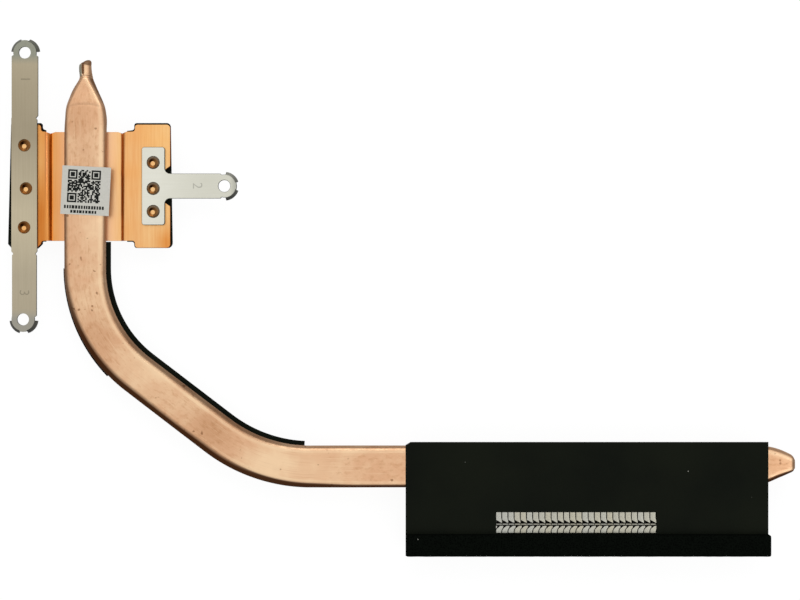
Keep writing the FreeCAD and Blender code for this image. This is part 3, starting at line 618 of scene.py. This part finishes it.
def makePipe():
    legs = pipeLegs()
    total = sum(length for length, bend in legs)
    rows = fillRows + runRows + [(total - row[0], *row[1:]) for row in noseRows]
    run = total - pipe["runFrom"] - pipe["noseLength"]
    stops = [start + step * i for start, step, count in pipe["tipStops"] for i in range(count)]
    stops += [pipe["runFrom"] + run * i / pipe["runStops"] for i in range(pipe["runStops"])]
    stops += [total - pipe["noseLength"] + pipe["noseStep"] * i for i in range(pipe["noseStops"])]
    dents = pipeDents(total)
    bm = bmesh.new()
    uvLayer = bm.loops.layers.uv.new("UVMap")
    layers = {name: bm.verts.layers.float.new(name) for name in ("oxide", "bare", "tone")}
    rings, spots = [], {}
    for distance in stops:
        x, y, heading = pipeRoute(legs, distance)
        sideX, sideY = math.sin(heading), -math.cos(heading)
        reachOut, reachIn, flatOut, flatIn, thick, ridge = alongStations(rows, distance)
        ring = []
        for k, (across, height) in enumerate(pipeRing(reachOut, reachIn, flatOut, flatIn, thick, ridge)):
            beyondOut, beyondIn = across - flatOut, -across - flatIn
            groove = 0.0
            if height > 0:
                onFlat = 1 - ramp(max(beyondOut, beyondIn), skinShape["fade"])
                height += pipeSurface(distance, across, dents) * onFlat
                if distance < pinch["seamTo"]:
                    groove = math.exp(-((across - pinch["seamAt"]) / pinch["seamHalf"]) ** 2)
                    groove *= 1 - ramp(distance, pinch["seamFade"])
                    height -= pinch["seamDepth"] * groove
                fromNeck = (distance - pinch["neckAt"]) / pinch["neckHalf"]
                height -= pinch["neckDepth"] * math.exp(-fromNeck ** 2)
            z = pipe["low"] + pipe["thick"] / 2 + height
            vert = bm.verts.new((x + sideX * across, y + sideY * across, z))
            # painted shade on the sides, ends and crease, and in the seam's groove
            brown = pipeOxide(distance, across, beyondOut, beyondIn)
            vert[layers["oxide"]] = max(brown, tarnish["seam"] * groove)
            if height > 0:
                vert[layers["tone"]] = pipeTone(distance, across, flatOut, flatIn)
            if distance < pinch["trimTo"] and across > pinch["trimAcross"][0]:  # trimmed edge beside the fold
                vert[layers["bare"]] = ramp(across, pinch["trimAcross"]) * ramp(distance, pinch["trimAlong"])
            ring.append(vert)
            spots[vert] = (distance, k)
        rings.append(ring)
    around = len(rings[0])
    for i in range(len(rings) - 1):
        for k in range(around):
            n = (k + 1) % around
            face = bm.faces.new((rings[i][k], rings[i + 1][k], rings[i + 1][n], rings[i][n]))
            for loop in face.loops:
                distance, spot = spots[loop.vert]
                if k == around - 1 and spot == 0:  # the seam
                    spot = around
                loop[uvLayer].uv = (distance * mm, spot / around * pipe["girth"] * mm)
    bm.faces.new(rings[0])
    bm.faces.new(rings[-1][::-1])
    bmesh.ops.recalc_face_normals(bm, faces=bm.faces)
    addPiece("heat_pipe_tube", meshOf(bm, "heatPipe", sharpDeg=50), pipeCopper, "pipe_copper", "heat_pipe")


makePipe()
print("heat pipe done")


# Stamped sheet: a copy of a solid with its sheared edges broken, and painted shade marked on its steep faces,
# lips, dimples and figures
stamped = dict(
    edge=0.1, segments=1, fromDeg=25, joinDeg=0.5, sharpDeg=35, flatFrom=0.999, steepFrom=0.68,
    steepSpan=0.28, wallReach=8.4, wallTilt=0.6, lipFrom=2.25, lipTo=3.9, lipTilt=(0.4, 0.7),
    lipShade=0.78, lipTurn=0.25)
dimple = dict(  # the stakes' hollows: shade as (level, swing), and how far the punch leaned
    radius=1.3, tilt=(0.05, 0.98), darkX=0.45, darkY=-0.9, rimFrom=1.85, wall=(0.55, 0.6),
    leftRim=(0.47, 0.51), rightRim=(0.85, 0.15), leanX=-0.2, leanY=-0.12, leanLow=1.3, leanTop=2.1,
    leanSpan=0.7)
stakes = ((-12.13, 8.15), (-11.8, -0.5), (-12.18, -8.3), (13.7, 4.7), (13.7, -0.5), (13.7, -5.1))
pads = ((-12.05, 26.75), (-12.4, -26.75), (27.95, 0))


def onLip(point):  # the bent lips round the screw pads
    return stamped["lipFrom"] < min(math.hypot(point.x - x, point.y - y) for x, y in pads) < stamped["lipTo"]


def nearStake(point):
    return min(math.hypot(point.x - x, point.y - y) for x, y in stakes) < dimple["radius"]


def softenedMesh(nodeName):
    bm = bmesh.new()
    bm.from_mesh(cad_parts[nodeName].data)
    bmesh.ops.transform(bm, matrix=Matrix.Scale(1 / mm, 4), verts=bm.verts)
    bmesh.ops.remove_doubles(bm, verts=bm.verts, dist=weldGap)
    bmesh.ops.dissolve_limit(bm, angle_limit=math.radians(stamped["joinDeg"]), verts=bm.verts, edges=bm.edges)
    limit = math.radians(stamped["fromDeg"])
    edges = [e for e in bm.edges if len(e.link_faces) == 2 and e.calc_face_angle() > limit]
    bmesh.ops.bevel(bm, geom=edges, offset=stamped["edge"], segments=stamped["segments"], profile=0.5,
                    affect="EDGES", clamp_overlap=True)
    return meshOf(bm, nodeName + "Soft", stamped["sharpDeg"])


def markSheared(mesh, stampRows=()):  # painted shade on steep faces and bent lips, and in the dimples and stamped figures
    sheared = mesh.attributes.new("sheared", "FLOAT", "FACE")
    sunk = mesh.attributes.new("sunk", "FLOAT", "FACE")
    lipLow, lipHigh = stamped["lipTilt"]
    dimpleLow, dimpleHigh = dimple["tilt"]
    for face in mesh.polygons:
        middle, normal = face.center / mm, face.normal
        steep = 1 - smoothStep((abs(normal.z) - stamped["steepFrom"]) / stamped["steepSpan"])
        if abs(middle.x) < stamped["wallReach"] and abs(normal.x) > stamped["wallTilt"]:
            steep = 0  # no painted edge shade on the trough's walls; the painted fold shade colours them
        # painted shade on the bent lips, darker where they face south, away from the light
        if onLip(middle) and lipLow < normal.z < lipHigh:
            steep = stamped["lipShade"] - stamped["lipTurn"] * normal.y
        # painted shade in the dimples, darker on the walls that face away from the light
        if nearStake(middle) and dimpleLow < normal.z < dimpleHigh:
            steep = 0
            level, swing = dimple["wall"]
            if middle.z > dimple["rimFrom"]:
                level, swing = dimple["rightRim"] if middle.x > 0 else dimple["leftRim"]
            darkSide = normal.x * dimple["darkX"] + normal.y * dimple["darkY"]
            sunk.data[face.index].value = level + swing * darkSide
        sheared.data[face.index].value = steep
        # painted shade on the floors of the stamped figures
        for text, x, y in stampRows:
            inStamp = abs(middle.x - x) < stamp["halfX"] and abs(middle.y - y) < stamp["halfY"]
            if inStamp and normal.z > stamp["floorTilt"] and middle.z < stamp["top"] - stamp["depth"] / 2:
                sunk.data[face.index].value = stamp["shade"]
    mesh.set_sharp_from_angle(angle=math.radians(stamped["sharpDeg"]))
    for face in mesh.polygons:
        face.use_smooth = abs(face.normal.z) < stamped["flatFrom"]  # the flats stay flat
    return mesh


def leanDimples(mesh):  # the floor of each dimple lies left of its rim and below it, seen from above
    for vertex in mesh.vertices:
        point = vertex.co / mm
        if nearStake(point) and dimple["leanLow"] < point.z < dimple["leanTop"]:
            share = min(1, (dimple["leanTop"] - point.z) / dimple["leanSpan"])
            vertex.co.x += dimple["leanX"] * mm * share
            vertex.co.y += dimple["leanY"] * mm * share
    return mesh


plateSheet = markSheared(leanDimples(softenedMesh("spreader_plate")))
addPiece("spreader_plate_sheet", plateSheet, plateCopper, "plate_copper", "spreader_plate")
print("spreader plate done")


# Spring arms with a stamped number at each screw hole, read from the left
stamp = dict(
    size=2.8, thin=-0.02, depth=0.04, top=2.2, shade=0.3, halfX=1.6, halfY=1.2, floorTilt=0.9, merge=0.008)
stampsOn = {
    "left_spring_arm": [("1", -12.0, 21.4), ("3", -12.2, -21.4)],
    "right_spring_arm": [("2", 22.5, 0.05)],
}


def stampCutter(text, x, y):
    curve = withSettings(bpy.data.curves.new("stamp", "FONT"), body=text, size=stamp["size"],
                         align_x="CENTER", align_y="CENTER", extrude=stamp["depth"], offset=stamp["thin"])
    bm = bmesh.new()
    bm.from_mesh(finalMesh(putObject("stamp", curve)))
    bmesh.ops.remove_doubles(bm, verts=bm.verts, dist=stamp["merge"])
    turned = Matrix.Translation((x, y, stamp["top"])) @ Matrix.Rotation(-math.pi / 2, 4, "Z")
    bmesh.ops.transform(bm, matrix=turned, verts=bm.verts)
    return putObject("stamp", meshOf(bm, "stamp"))


def makeArm(nodeName, material):
    cutters = [stampCutter(*row) for row in stampsOn[nodeName]]
    cuts = [("BOOLEAN", dict(operation="DIFFERENCE", solver="MANIFOLD", object=cutter)) for cutter in cutters]
    mesh = markSheared(throughModifiers(softenedMesh(nodeName), *cuts), stampsOn[nodeName])
    for cutter in cutters:
        bpy.data.objects.remove(cutter)
    addPiece(nodeName + "_strip", mesh, material, "spring_steel", nodeName)


makeArm("left_spring_arm", leftSteel)
makeArm("right_spring_arm", rightSteel)
print("spring arms done")


# Fin stack: one folded fin, repeated by a node tree
fins = dict(
    count=57, pitch=1.234, firstX=65.1, sheet=0.2, reach=1.05, footReach=1.22, top=3.0, bottom=-3.5, seat=0.8,
    outletY=-73.95, inletY=-51.95, riserY=-60.5, foldRound=0.1, tintSeed=4)
hook = dict(low=0.12, high=1.2, fromY=-67.62, toY=-67.88, rise=2.56, thick=0.12, slotFloor=1.9, slant=0.1)
# The slanted slot in the top flange: the edge of the tongue before it, and both edges of the tail after it
tongueEnd = [(0, -66.8), (1.14, -67.42), (1.2, -67.36), (1.15, -66.95), (1.05, -66.4)]
tailLeft = [(0, -69.2), (0.03, -68.85), (0.17, -68.6), (0.42, -68.4), (0.65, -68.2), (0.86, -68.06)]
tailRight = [(1.44, -68.02), (1.45, -68.3), (1.3, -68.5), (1.17, -68.7), (1.09, -68.95), (1.05, -69.2)]


def makeFin():
    sheet, reach = fins["sheet"], fins["reach"]
    outlet, inlet, riser = fins["outletY"], fins["inletY"], fins["riserY"]
    top, bottom, seat = fins["top"] - sheet, fins["bottom"] + sheet, fins["seat"] - sheet
    bm = bmesh.new()
    slotFloor, slant = hook["slotFloor"], hook["slant"]
    web = [(outlet, bottom), (inlet, bottom), (inlet, seat), (riser, seat), (riser, top),
           (tongueEnd[0][1], top), (tongueEnd[0][1] - slant, slotFloor), (hook["fromY"] + slant, slotFloor),
           (hook["fromY"], hook["rise"]), (hook["toY"], hook["rise"]), (hook["toY"] - slant, slotFloor),
           (tailLeft[0][1] + slant, slotFloor), (tailLeft[0][1], top), (outlet, top)]
    extrude(bm, web, 0, sheet, lambda y, z, x: (x, y, z))
    tongue = [(0, riser)] + tongueEnd + [(reach, riser)]
    tail = [(0, outlet)] + tailLeft + tailRight + [(reach, outlet)]
    folded = extrude(bm, tongue, top, fins["top"])[:2]
    folded += extrude(bm, tail, top, fins["top"])[:len(tailLeft) + 1]
    extrude(bm, rectangle(0, riser, reach, inlet), seat, fins["seat"])
    foot = rectangle(0, outlet, fins["footReach"], inlet)  # the feet close the underside
    extrude(bm, foot, fins["bottom"], bottom)
    bar = rectangle(hook["low"], hook["toY"], hook["high"], hook["fromY"])
    extrude(bm, bar, hook["rise"], hook["rise"] + hook["thick"])
    bmesh.ops.recalc_face_normals(bm, faces=bm.faces)
    folds = [e for e in bm.edges if all(v in folded for v in e.verts)]
    bmesh.ops.bevel(bm, geom=folds, offset=fins["foldRound"], segments=2, profile=0.5, affect="EDGES")
    bmesh.ops.translate(bm, vec=(fins["firstX"], 0, 0), verts=bm.verts)
    bmesh.ops.triangulate(bm, faces=[f for f in bm.faces if len(f.verts) > 4])
    return putObject("oneFin", meshOf(bm, "oneFin", sharpDeg=30))


def finTree(material):
    tree = bpy.data.node_groups.new("finRow", "GeometryNodeTree")
    sockets = {}
    for name, kind, way in (("Fin", "NodeSocketObject", "INPUT"), ("Count", "NodeSocketInt", "INPUT"),
                            ("Pitch", "NodeSocketFloat", "INPUT"), ("Tint Seed", "NodeSocketInt", "INPUT"),
                            ("Geometry", "NodeSocketGeometry", "OUTPUT")):
        sockets[name] = tree.interface.new_socket(name, in_out=way, socket_type=kind).identifier
    given = addNode(tree, "NodeGroupInput")
    fin = addNode(tree, "GeometryNodeObjectInfo", {"Object": given.outputs["Fin"]})
    step = addNode(tree, "ShaderNodeCombineXYZ", {"X": given.outputs["Pitch"]})
    line = addNode(tree, "GeometryNodeMeshLine", {"Count": given.outputs["Count"], "Offset": step})
    row = addNode(tree, "GeometryNodeInstanceOnPoints", {"Points": line, "Instance": fin.outputs["Geometry"]})
    draw = addNode(tree, "FunctionNodeRandomValue", {"Seed": given.outputs["Tint Seed"]}, data_type="FLOAT")
    tinted = addNode(tree, "GeometryNodeStoreNamedAttribute", {"Geometry": row, "Name": "finTint",
                     "Value": draw.outputs[1]}, data_type="FLOAT", domain="INSTANCE")
    real = addNode(tree, "GeometryNodeRealizeInstances", {"Geometry": tinted})
    dressed = addNode(tree, "GeometryNodeSetMaterial", {"Geometry": real, "Material": material})
    addNode(tree, "NodeGroupOutput", {"Geometry": dressed})
    return tree, sockets


def makeFins():
    fin = makeFin()
    carrier = putObject("finCarrier", bpy.data.meshes.new("finCarrier"))
    rowTool = carrier.modifiers.new("finRow", "NODES")
    rowTool.node_group, sockets = finTree(finAluminium)
    rowTool[sockets["Fin"]] = fin
    rowTool[sockets["Count"]] = fins["count"]
    rowTool[sockets["Pitch"]] = fins["pitch"] * mm
    rowTool[sockets["Tint Seed"]] = fins["tintSeed"]
    mesh = finalMesh(carrier)
    bpy.data.objects.remove(fin)
    addPiece("folded_fins", mesh, finAluminium, "fin_aluminium", "fin_stack")


makeFins()
print("fins done")


# Cover film: one thin sheet with a window, with the fins' edges just showing through as ripples
film = dict(left=64.3, right=136.84, outletY=-74.05, inletY=-51.25, low=3.0, high=3.1, cutX=1.0, cutY=0.6,
            windowLeft=82.376, windowRight=114.46, windowLow=-69.41, windowHigh=-65.31, perFin=6, rowStep=1.2,
            ripple=0.012, rippleLevel=0.6, rippleSwing=0.8, rippleX=9, rippleY=5)


def gridLines(low, high, step, extra):  # evenly spaced lines that also pass through the extra places
    stops = sorted([low, high] + extra)
    lines = []
    for start, end in zip(stops, stops[1:]):
        count = max(1, round((end - start) / step))
        lines += [start + (end - start) * i / count for i in range(count)]
    return lines + [high]


def cellSheet(bm, top, low, cells):  # closed sheet over some cells of a grid
    for i, j in sorted(cells):
        corners = [(i, j), (i + 1, j), (i + 1, j + 1), (i, j + 1)]
        bm.faces.new([top[c] for c in corners])
        bm.faces.new([low[c] for c in reversed(corners)])
        for k, (di, dj) in enumerate(((0, -1), (1, 0), (0, 1), (-1, 0))):
            if (i + di, j + dj) not in cells:
                a, b = corners[k], corners[(k + 1) % 4]
                bm.faces.new((low[a], low[b], top[b], top[a]))
    bmesh.ops.delete(bm, geom=[v for v in bm.verts if not v.link_faces], context="VERTS")


def makeFilm():
    xs = gridLines(film["left"], film["right"], fins["pitch"] / film["perFin"],
                   [film["left"] + film["cutX"], film["windowLeft"], film["windowRight"]])
    ys = gridLines(film["outletY"], film["inletY"], film["rowStep"],
                   [film["inletY"] - film["cutY"], film["windowLow"], film["windowHigh"]])
    bm = bmesh.new()
    top, low = {}, {}
    for i, x in enumerate(xs):
        for j, y in enumerate(ys):
            px, py = x, y
            nearLeft = 1 - (x - film["left"]) / film["cutX"]
            nearInlet = 1 - (film["inletY"] - y) / film["cutY"]
            if nearLeft > 0 and nearInlet > 0:  # the cut corner
                py = film["inletY"] - film["cutY"] * (1 - nearInlet * (1 - nearLeft))
            phase = 2 * math.pi * (x - fins["firstX"]) / fins["pitch"]
            patchy = noise.noise(Vector((x / film["rippleX"], y / film["rippleY"], 1)))
            lift = film["ripple"] * (0.5 + 0.5 * math.cos(phase))
            lift *= film["rippleLevel"] + film["rippleSwing"] * patchy
            top[i, j] = bm.verts.new((px, py, film["high"] + max(lift, 0)))
            low[i, j] = bm.verts.new((px, py, film["low"]))
    cells = set()
    for i in range(len(xs) - 1):
        for j in range(len(ys) - 1):
            middleX, middleY = (xs[i] + xs[i + 1]) / 2, (ys[j] + ys[j + 1]) / 2
            inWindow = (film["windowLeft"] < middleX < film["windowRight"]
                        and film["windowLow"] < middleY < film["windowHigh"])
            if not inWindow:
                cells.add((i, j))
    cellSheet(bm, top, low, cells)
    bmesh.ops.remove_doubles(bm, verts=bm.verts, dist=weldGap)
    addPiece("fin_cover_sheet", meshOf(bm, "finCover"), blackFilm, "black_film", "fin_cover_film")


# Films under the wings, cut a little larger than the copper and showing as a dark line round it
wingFilms = dict(low=0.65, high=0.8)
leftFilmCorners = [  # x, y, corner radius
    (-15.7, -11.6, 0.2), (-15.0, -12.4, 0.2), (-9.6, -12.5, 0.2), (-8.7, -11.6, 0.25), (-8.7, -11.12, 0.2),
    (-8.0, -11.12, 0), (-8.0, 11.3, 0), (-8.3, 11.4, 0), (-8.7, 11.4, 0.5), (-8.7, 12.75, 0.5),
    (-15.08, 12.75, 0.4)]
rightFilmCorners = [
    (8.25, -11.15, 0), (9.7, -11.15, 0.5), (9.7, -12.4, 0.5), (17.45, -12.4, 1.0), (17.05, 12.75, 0.8),
    (9.7, 12.75, 0.5), (9.7, 11.35, 0.5), (8.25, 11.18, 0)]


def makeWingFilm(name, corners, nodeName):
    bm = bmesh.new()
    extrude(bm, roundedOutline(corners), wingFilms["low"], wingFilms["high"])
    bmesh.ops.recalc_face_normals(bm, faces=bm.faces)
    bmesh.ops.triangulate(bm, faces=[f for f in bm.faces if len(f.verts) > 4])
    addPiece(name, meshOf(bm, name), blackFilm, "black_film", nodeName)


makeFilm()
makeWingFilm("left_wing_sheet", leftFilmCorners, "left_wing_film")
makeWingFilm("right_wing_sheet", rightFilmCorners, "right_wing_film")
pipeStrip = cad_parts["pipe_insulation_strip"]
pipeStrip.data.materials.clear()
pipeStrip.data.materials.append(blackFilm)
print("films done")


# Foam strip along the outlet: slit by a blade, so its sides are nearly straight and its skin is uneven
foam = dict(left=64.3, right=137.19, outletY=-74.05, innerY=-69.65, low=3.1, high=4.6, cell=0.42,
            rounding=0.22, cornerRound=0.5, uneven=0.05, fine=1.6, broad=0.5, broadShare=0.4,
            sideShare=0.6, sideFrom=0.45)


def makeFoam():
    bm = bmesh.new()
    bmesh.ops.create_cube(bm, size=1)
    start = Vector((foam["left"], foam["outletY"], foam["low"]))
    end = Vector((foam["right"], foam["innerY"], foam["high"]))
    size, middle = end - start, (start + end) / 2
    rounds = (foam["cornerRound"], foam["cornerRound"], foam["rounding"])
    for axis in range(3):
        count = max(2, round(size[axis] / foam["cell"]))
        for i in range(1, count):
            point, normal = Vector((0, 0, 0)), Vector((0, 0, 0))
            point[axis] = i / count - 0.5
            normal[axis] = 1
            everything = bm.verts[:] + bm.edges[:] + bm.faces[:]
            bmesh.ops.bisect_plane(bm, geom=everything, plane_co=point, plane_no=normal)
    for vert in bm.verts:
        at = Vector([vert.co[k] * size[k] for k in range(3)])
        corner = Vector([max(abs(at[k]) - (size[k] / 2 - rounds[k]), 0) for k in range(3)])
        if corner.x > 0 and corner.y > 0:  # upright corners
            flat = Vector((corner.x, corner.y))
            excess = flat.length - foam["cornerRound"]
            if excess > 0:
                at.x -= math.copysign(flat.x / flat.length * excess, at.x)
                at.y -= math.copysign(flat.y / flat.length * excess, at.y)
        if corner.z > 0 and at.z > 0:  # upper rim
            for k in (0, 1):
                reach = abs(at[k]) - (size[k] / 2 - foam["rounding"])
                if reach > 0:
                    length = math.hypot(reach, corner.z)
                    if length > foam["rounding"]:
                        at[k] -= math.copysign(reach * (1 - foam["rounding"] / length), at[k])
                        at.z -= corner.z * (1 - foam["rounding"] / length)
        world = at + middle
        lumps = 0.5 + 0.5 * noise.noise(world * foam["fine"])
        lumps += foam["broadShare"] * noise.noise(world * foam["broad"])
        inward = max(foam["uneven"] * lumps, 0)
        if at.z > 0:
            world.z -= inward
        if abs(at.y) > size.y * foam["sideFrom"]:
            world.y -= math.copysign(inward * foam["sideShare"], at.y)
        vert.co = world
    mesh = meshOf(bm, "outletFoam", sharpDeg=60)
    piece = addPiece("outlet_foam", mesh, blackFoam, "black_foam", "outlet_foam_strip")


makeFoam()
print("foam done")


# Label: a small square of paper that droops a little where it overhangs the pipe, with a made-up printed mark
label = dict(side=9.7, x=0.3, y=-1.0, turnDeg=-2.8, low=3.0, thick=0.08, cells=24, flatHalf=3.2, droop=0.05)
mark = dict(
    modules=25, side=6.5, offsetX=-0.35, offsetY=0.85, seed=23, ink=0.006, lift=0.001, corner=7, spread=0.035,
    fill=0.6, barRows=((-3.35, 7.6, 0.66), (-4.25, 5.0, 0.58)),  # middle, length, height
    barWidth=(0.3, 0.55), barGap=(0.12, 0.2), barSeed=8)


def labelPoint(a, b, height):  # a place on the label, measured from its middle
    turn = math.radians(label["turnDeg"])
    x = label["x"] + a * math.cos(turn) - b * math.sin(turn)
    y = label["y"] + a * math.sin(turn) + b * math.cos(turn)
    over = max(abs(x) - label["flatHalf"], 0)
    return (x, y, label["low"] + height - label["droop"] * over ** 2)


def labelGrid(bm, xs, ys, height):
    return {(i, j): bm.verts.new(labelPoint(x, y, height))
            for i, x in enumerate(xs) for j, y in enumerate(ys)}


def makeLabel():
    bm = bmesh.new()
    count = label["cells"]
    steps = [label["side"] * (i / count - 0.5) for i in range(count + 1)]
    top = labelGrid(bm, steps, steps, label["thick"])
    low = labelGrid(bm, steps, steps, 0)
    cellSheet(bm, top, low, {(i, j) for i in range(count) for j in range(count)})
    addPiece("label_sheet", meshOf(bm, "labelSheet"), labelPaper, "label_paper", "label")


def markModules():  # three framed corner squares, and a seeded fill that says nothing
    count, corner = mark["modules"], mark["corner"]
    draw = random.Random(mark["seed"])
    dark = set()
    for i in range(count):
        for j in range(count):
            if draw.random() < mark["fill"]:
                dark.add((i, j))
    for startI, startJ in ((0, 0), (0, count - corner), (count - corner, count - corner)):
        for i in range(-1, corner + 1):
            for j in range(-1, corner + 1):
                rim = max(abs(i - corner // 2), abs(j - corner // 2))
                spot = (startI + i, startJ + j)
                if rim in (0, 1, 3) and 0 <= i < corner and 0 <= j < corner:
                    dark.add(spot)
                else:
                    dark.discard(spot)
    return dark


def touching(cell):  # modules that ink a cell: its own, or both beside a border cell
    return [cell // 2] if cell % 2 else [cell // 2 - 1, cell // 2]


def makeMark():
    bm = bmesh.new()
    base, rise = label["thick"] + mark["lift"], label["thick"] + mark["ink"]
    step, spread = mark["side"] / mark["modules"], mark["spread"]  # the ink spreads a little
    edges = [i * step + side for i in range(mark["modules"] + 1) for side in (-spread, spread)]
    xs, ys = [[mark[offset] - mark["side"] / 2 + edge for edge in edges] for offset in ("offsetX", "offsetY")]
    dark = markModules()
    top = labelGrid(bm, xs, ys, rise)
    low = labelGrid(bm, xs, ys, base)
    count = len(edges) - 1
    cells = {(i, j) for i in range(count) for j in range(count)
             if any((a, b) in dark for a in touching(i) for b in touching(j))}
    cellSheet(bm, top, low, cells)
    draw = random.Random(mark["barSeed"])
    for middle, width, height in mark["barRows"]:  # plain bars where a label has its small print
        at = -width / 2 + mark["offsetX"]
        while at < width / 2 + mark["offsetX"]:
            bar = draw.uniform(*mark["barWidth"])
            outline = rectangle(at, middle - height / 2, at + bar, middle + height / 2)
            extrude(bm, outline, base, rise, labelPoint)
            at += bar + draw.uniform(*mark["barGap"])
    addPiece("label_print", meshOf(bm, "labelPrint", sharpDeg=30), labelInk, "label_paper")


makeLabel()
makeMark()
print("label done")


# Lint: a few flecks caught on the film and the foam
flecks = dict(seed=5, lumpLevel=0.75, lumpSwing=0.5, lumpScale=1.7, narrow=0.55, thick=0.17,
              places=((66.75, -70.5, 4.53, 0.2), (120.8, -57.1, 3.1, 0.16), (133.5, -62.4, 3.1, 0.06),
                      (76.2, -55.3, 3.1, 0.06)))  # x, y, level, half width


def makeFlecks():
    draw = random.Random(flecks["seed"])
    bm = bmesh.new()
    for x, y, level, size in flecks["places"]:
        made = bmesh.ops.create_icosphere(bm, subdivisions=2, radius=1)["verts"]
        turn = draw.uniform(0, math.pi)
        for vert in made:
            spot = vert.co * flecks["lumpScale"] + Vector((x, y, 0))
            lump = flecks["lumpLevel"] + flecks["lumpSwing"] * noise.noise(spot)
            a, b = vert.co.x * size * lump, vert.co.y * size * flecks["narrow"] * lump
            vert.co = (x + a * math.cos(turn) - b * math.sin(turn),
                       y + a * math.sin(turn) + b * math.cos(turn),
                       level + size * flecks["thick"] * (1 + vert.co.z))
    addPiece("lint_flecks", meshOf(bm, "lintFlecks", sharpDeg=60), lint, "label_paper")


makeFlecks()
print("lint done")


# Stage: a white floor, soft light from all round and two soft boxes
studio = dict(
    floorSize=4.0, floorZ=-3.55, floorGrey=(0.9, 0.9, 0.9, 1), floorGlow=1.03, floorShare=0.9, skyTop=0.84,
    skyShoulder=0.95, shoulderAt=0.7, skyEdge=0.3, northGain=0.12, white=(1, 1, 1, 1),
    boxes=(("south east box", (0.42, -0.38, 0.75), 0.5, 0.9), ("north box", (0.05, 0.6, 0.7), 0.5, 1.8)))


def makeFloor():
    material, tree = startMaterial("studio floor")
    rays = addNode(tree, "ShaderNodeLightPath")
    seen = addNode(tree, "ShaderNodeMath", {0: rays.outputs["Is Camera Ray"],
                   1: rays.outputs["Is Glossy Ray"]}, operation="MAXIMUM")
    seenAny = addNode(tree, "ShaderNodeMath", {0: seen, 1: rays.outputs["Is Transmission Ray"]},
                      operation="MAXIMUM")
    share = addNode(tree, "ShaderNodeMath", {0: seenAny, 1: studio["floorShare"]}, operation="MULTIPLY")
    paper = addNode(tree, "ShaderNodeBsdfDiffuse", {"Color": studio["floorGrey"]})
    glow = addNode(tree, "ShaderNodeEmission", {"Color": studio["white"], "Strength": studio["floorGlow"]})
    mixed = addNode(tree, "ShaderNodeMixShader", {0: share, 1: paper, 2: glow})
    endMaterial(tree, mixed)
    half = studio["floorSize"] / 2
    mesh = bpy.data.meshes.new("floor")
    corners = [(x, y, studio["floorZ"] * mm) for x, y in rectangle(-half, -half, half, half)]
    mesh.from_pydata(corners, [], [(0, 1, 2, 3)])
    mesh.materials.append(material)
    floor = putObject("floor", mesh)


def makeSky():  # soft light from all round, falling off towards the horizon
    world = bpy.data.worlds.new("studio")
    bpy.context.scene.world = world
    world.use_nodes = True
    tree = world.node_tree
    tree.nodes.clear()
    place = addNode(tree, "ShaderNodeTexCoord")
    split = addNode(tree, "ShaderNodeSeparateXYZ", {"Vector": place.outputs["Generated"]})
    rise = addNode(tree, "ShaderNodeMapRange", {"Value": split.outputs["Z"], "From Max": studio["shoulderAt"],
                   "To Min": studio["skyEdge"], "To Max": studio["skyShoulder"]})
    crown = addNode(tree, "ShaderNodeMapRange", {"Value": split.outputs["Z"],
                    "From Min": studio["shoulderAt"], "To Min": 1.0,
                    "To Max": studio["skyTop"] / studio["skyShoulder"]})
    north = addNode(tree, "ShaderNodeMapRange", {"Value": split.outputs["Y"], "From Min": -1.0,
                    "To Min": 1 - studio["northGain"], "To Max": 1 + studio["northGain"]})
    crowned = addNode(tree, "ShaderNodeMath", {0: rise, 1: crown}, operation="MULTIPLY")
    level = addNode(tree, "ShaderNodeMath", {0: crowned, 1: north}, operation="MULTIPLY")
    soft = addNode(tree, "ShaderNodeBackground", {"Color": studio["white"], "Strength": level})
    addNode(tree, "ShaderNodeOutputWorld", {"Surface": soft})


def makeLamp(name, place, target, size, power):
    light = withSettings(bpy.data.lights.new(name, "AREA"), shape="SQUARE", size=size, energy=power)
    lamp = putObject(name, light)
    lamp.location = place
    lamp.rotation_euler = (Vector(target) - Vector(place)).to_track_quat("-Z", "Y").to_euler()


# Camera: straight down, as the photograph was taken
view = dict(x=63.18, y=-22.86, height=353.0, frameWidth=160.0, frameDistance=350.0, sensor=36.0)


def makeCamera():
    data = bpy.data.cameras.new("photo view")
    data.sensor_width = view["sensor"]
    data.lens = view["sensor"] * view["frameDistance"] / view["frameWidth"]
    camera = putObject("photo view", data)
    camera.location = (view["x"] * mm, view["y"] * mm, view["height"] * mm)
    bpy.context.scene.camera = camera


makeFloor()
makeSky()
middle = Vector((view["x"] * mm, view["y"] * mm, 0))
for boxName, offset, size, power in studio["boxes"]:
    makeLamp(boxName, middle + Vector(offset), middle, size, power)
makeCamera()
bpy.context.scene.view_settings.view_transform = "Standard"
print("stage done")
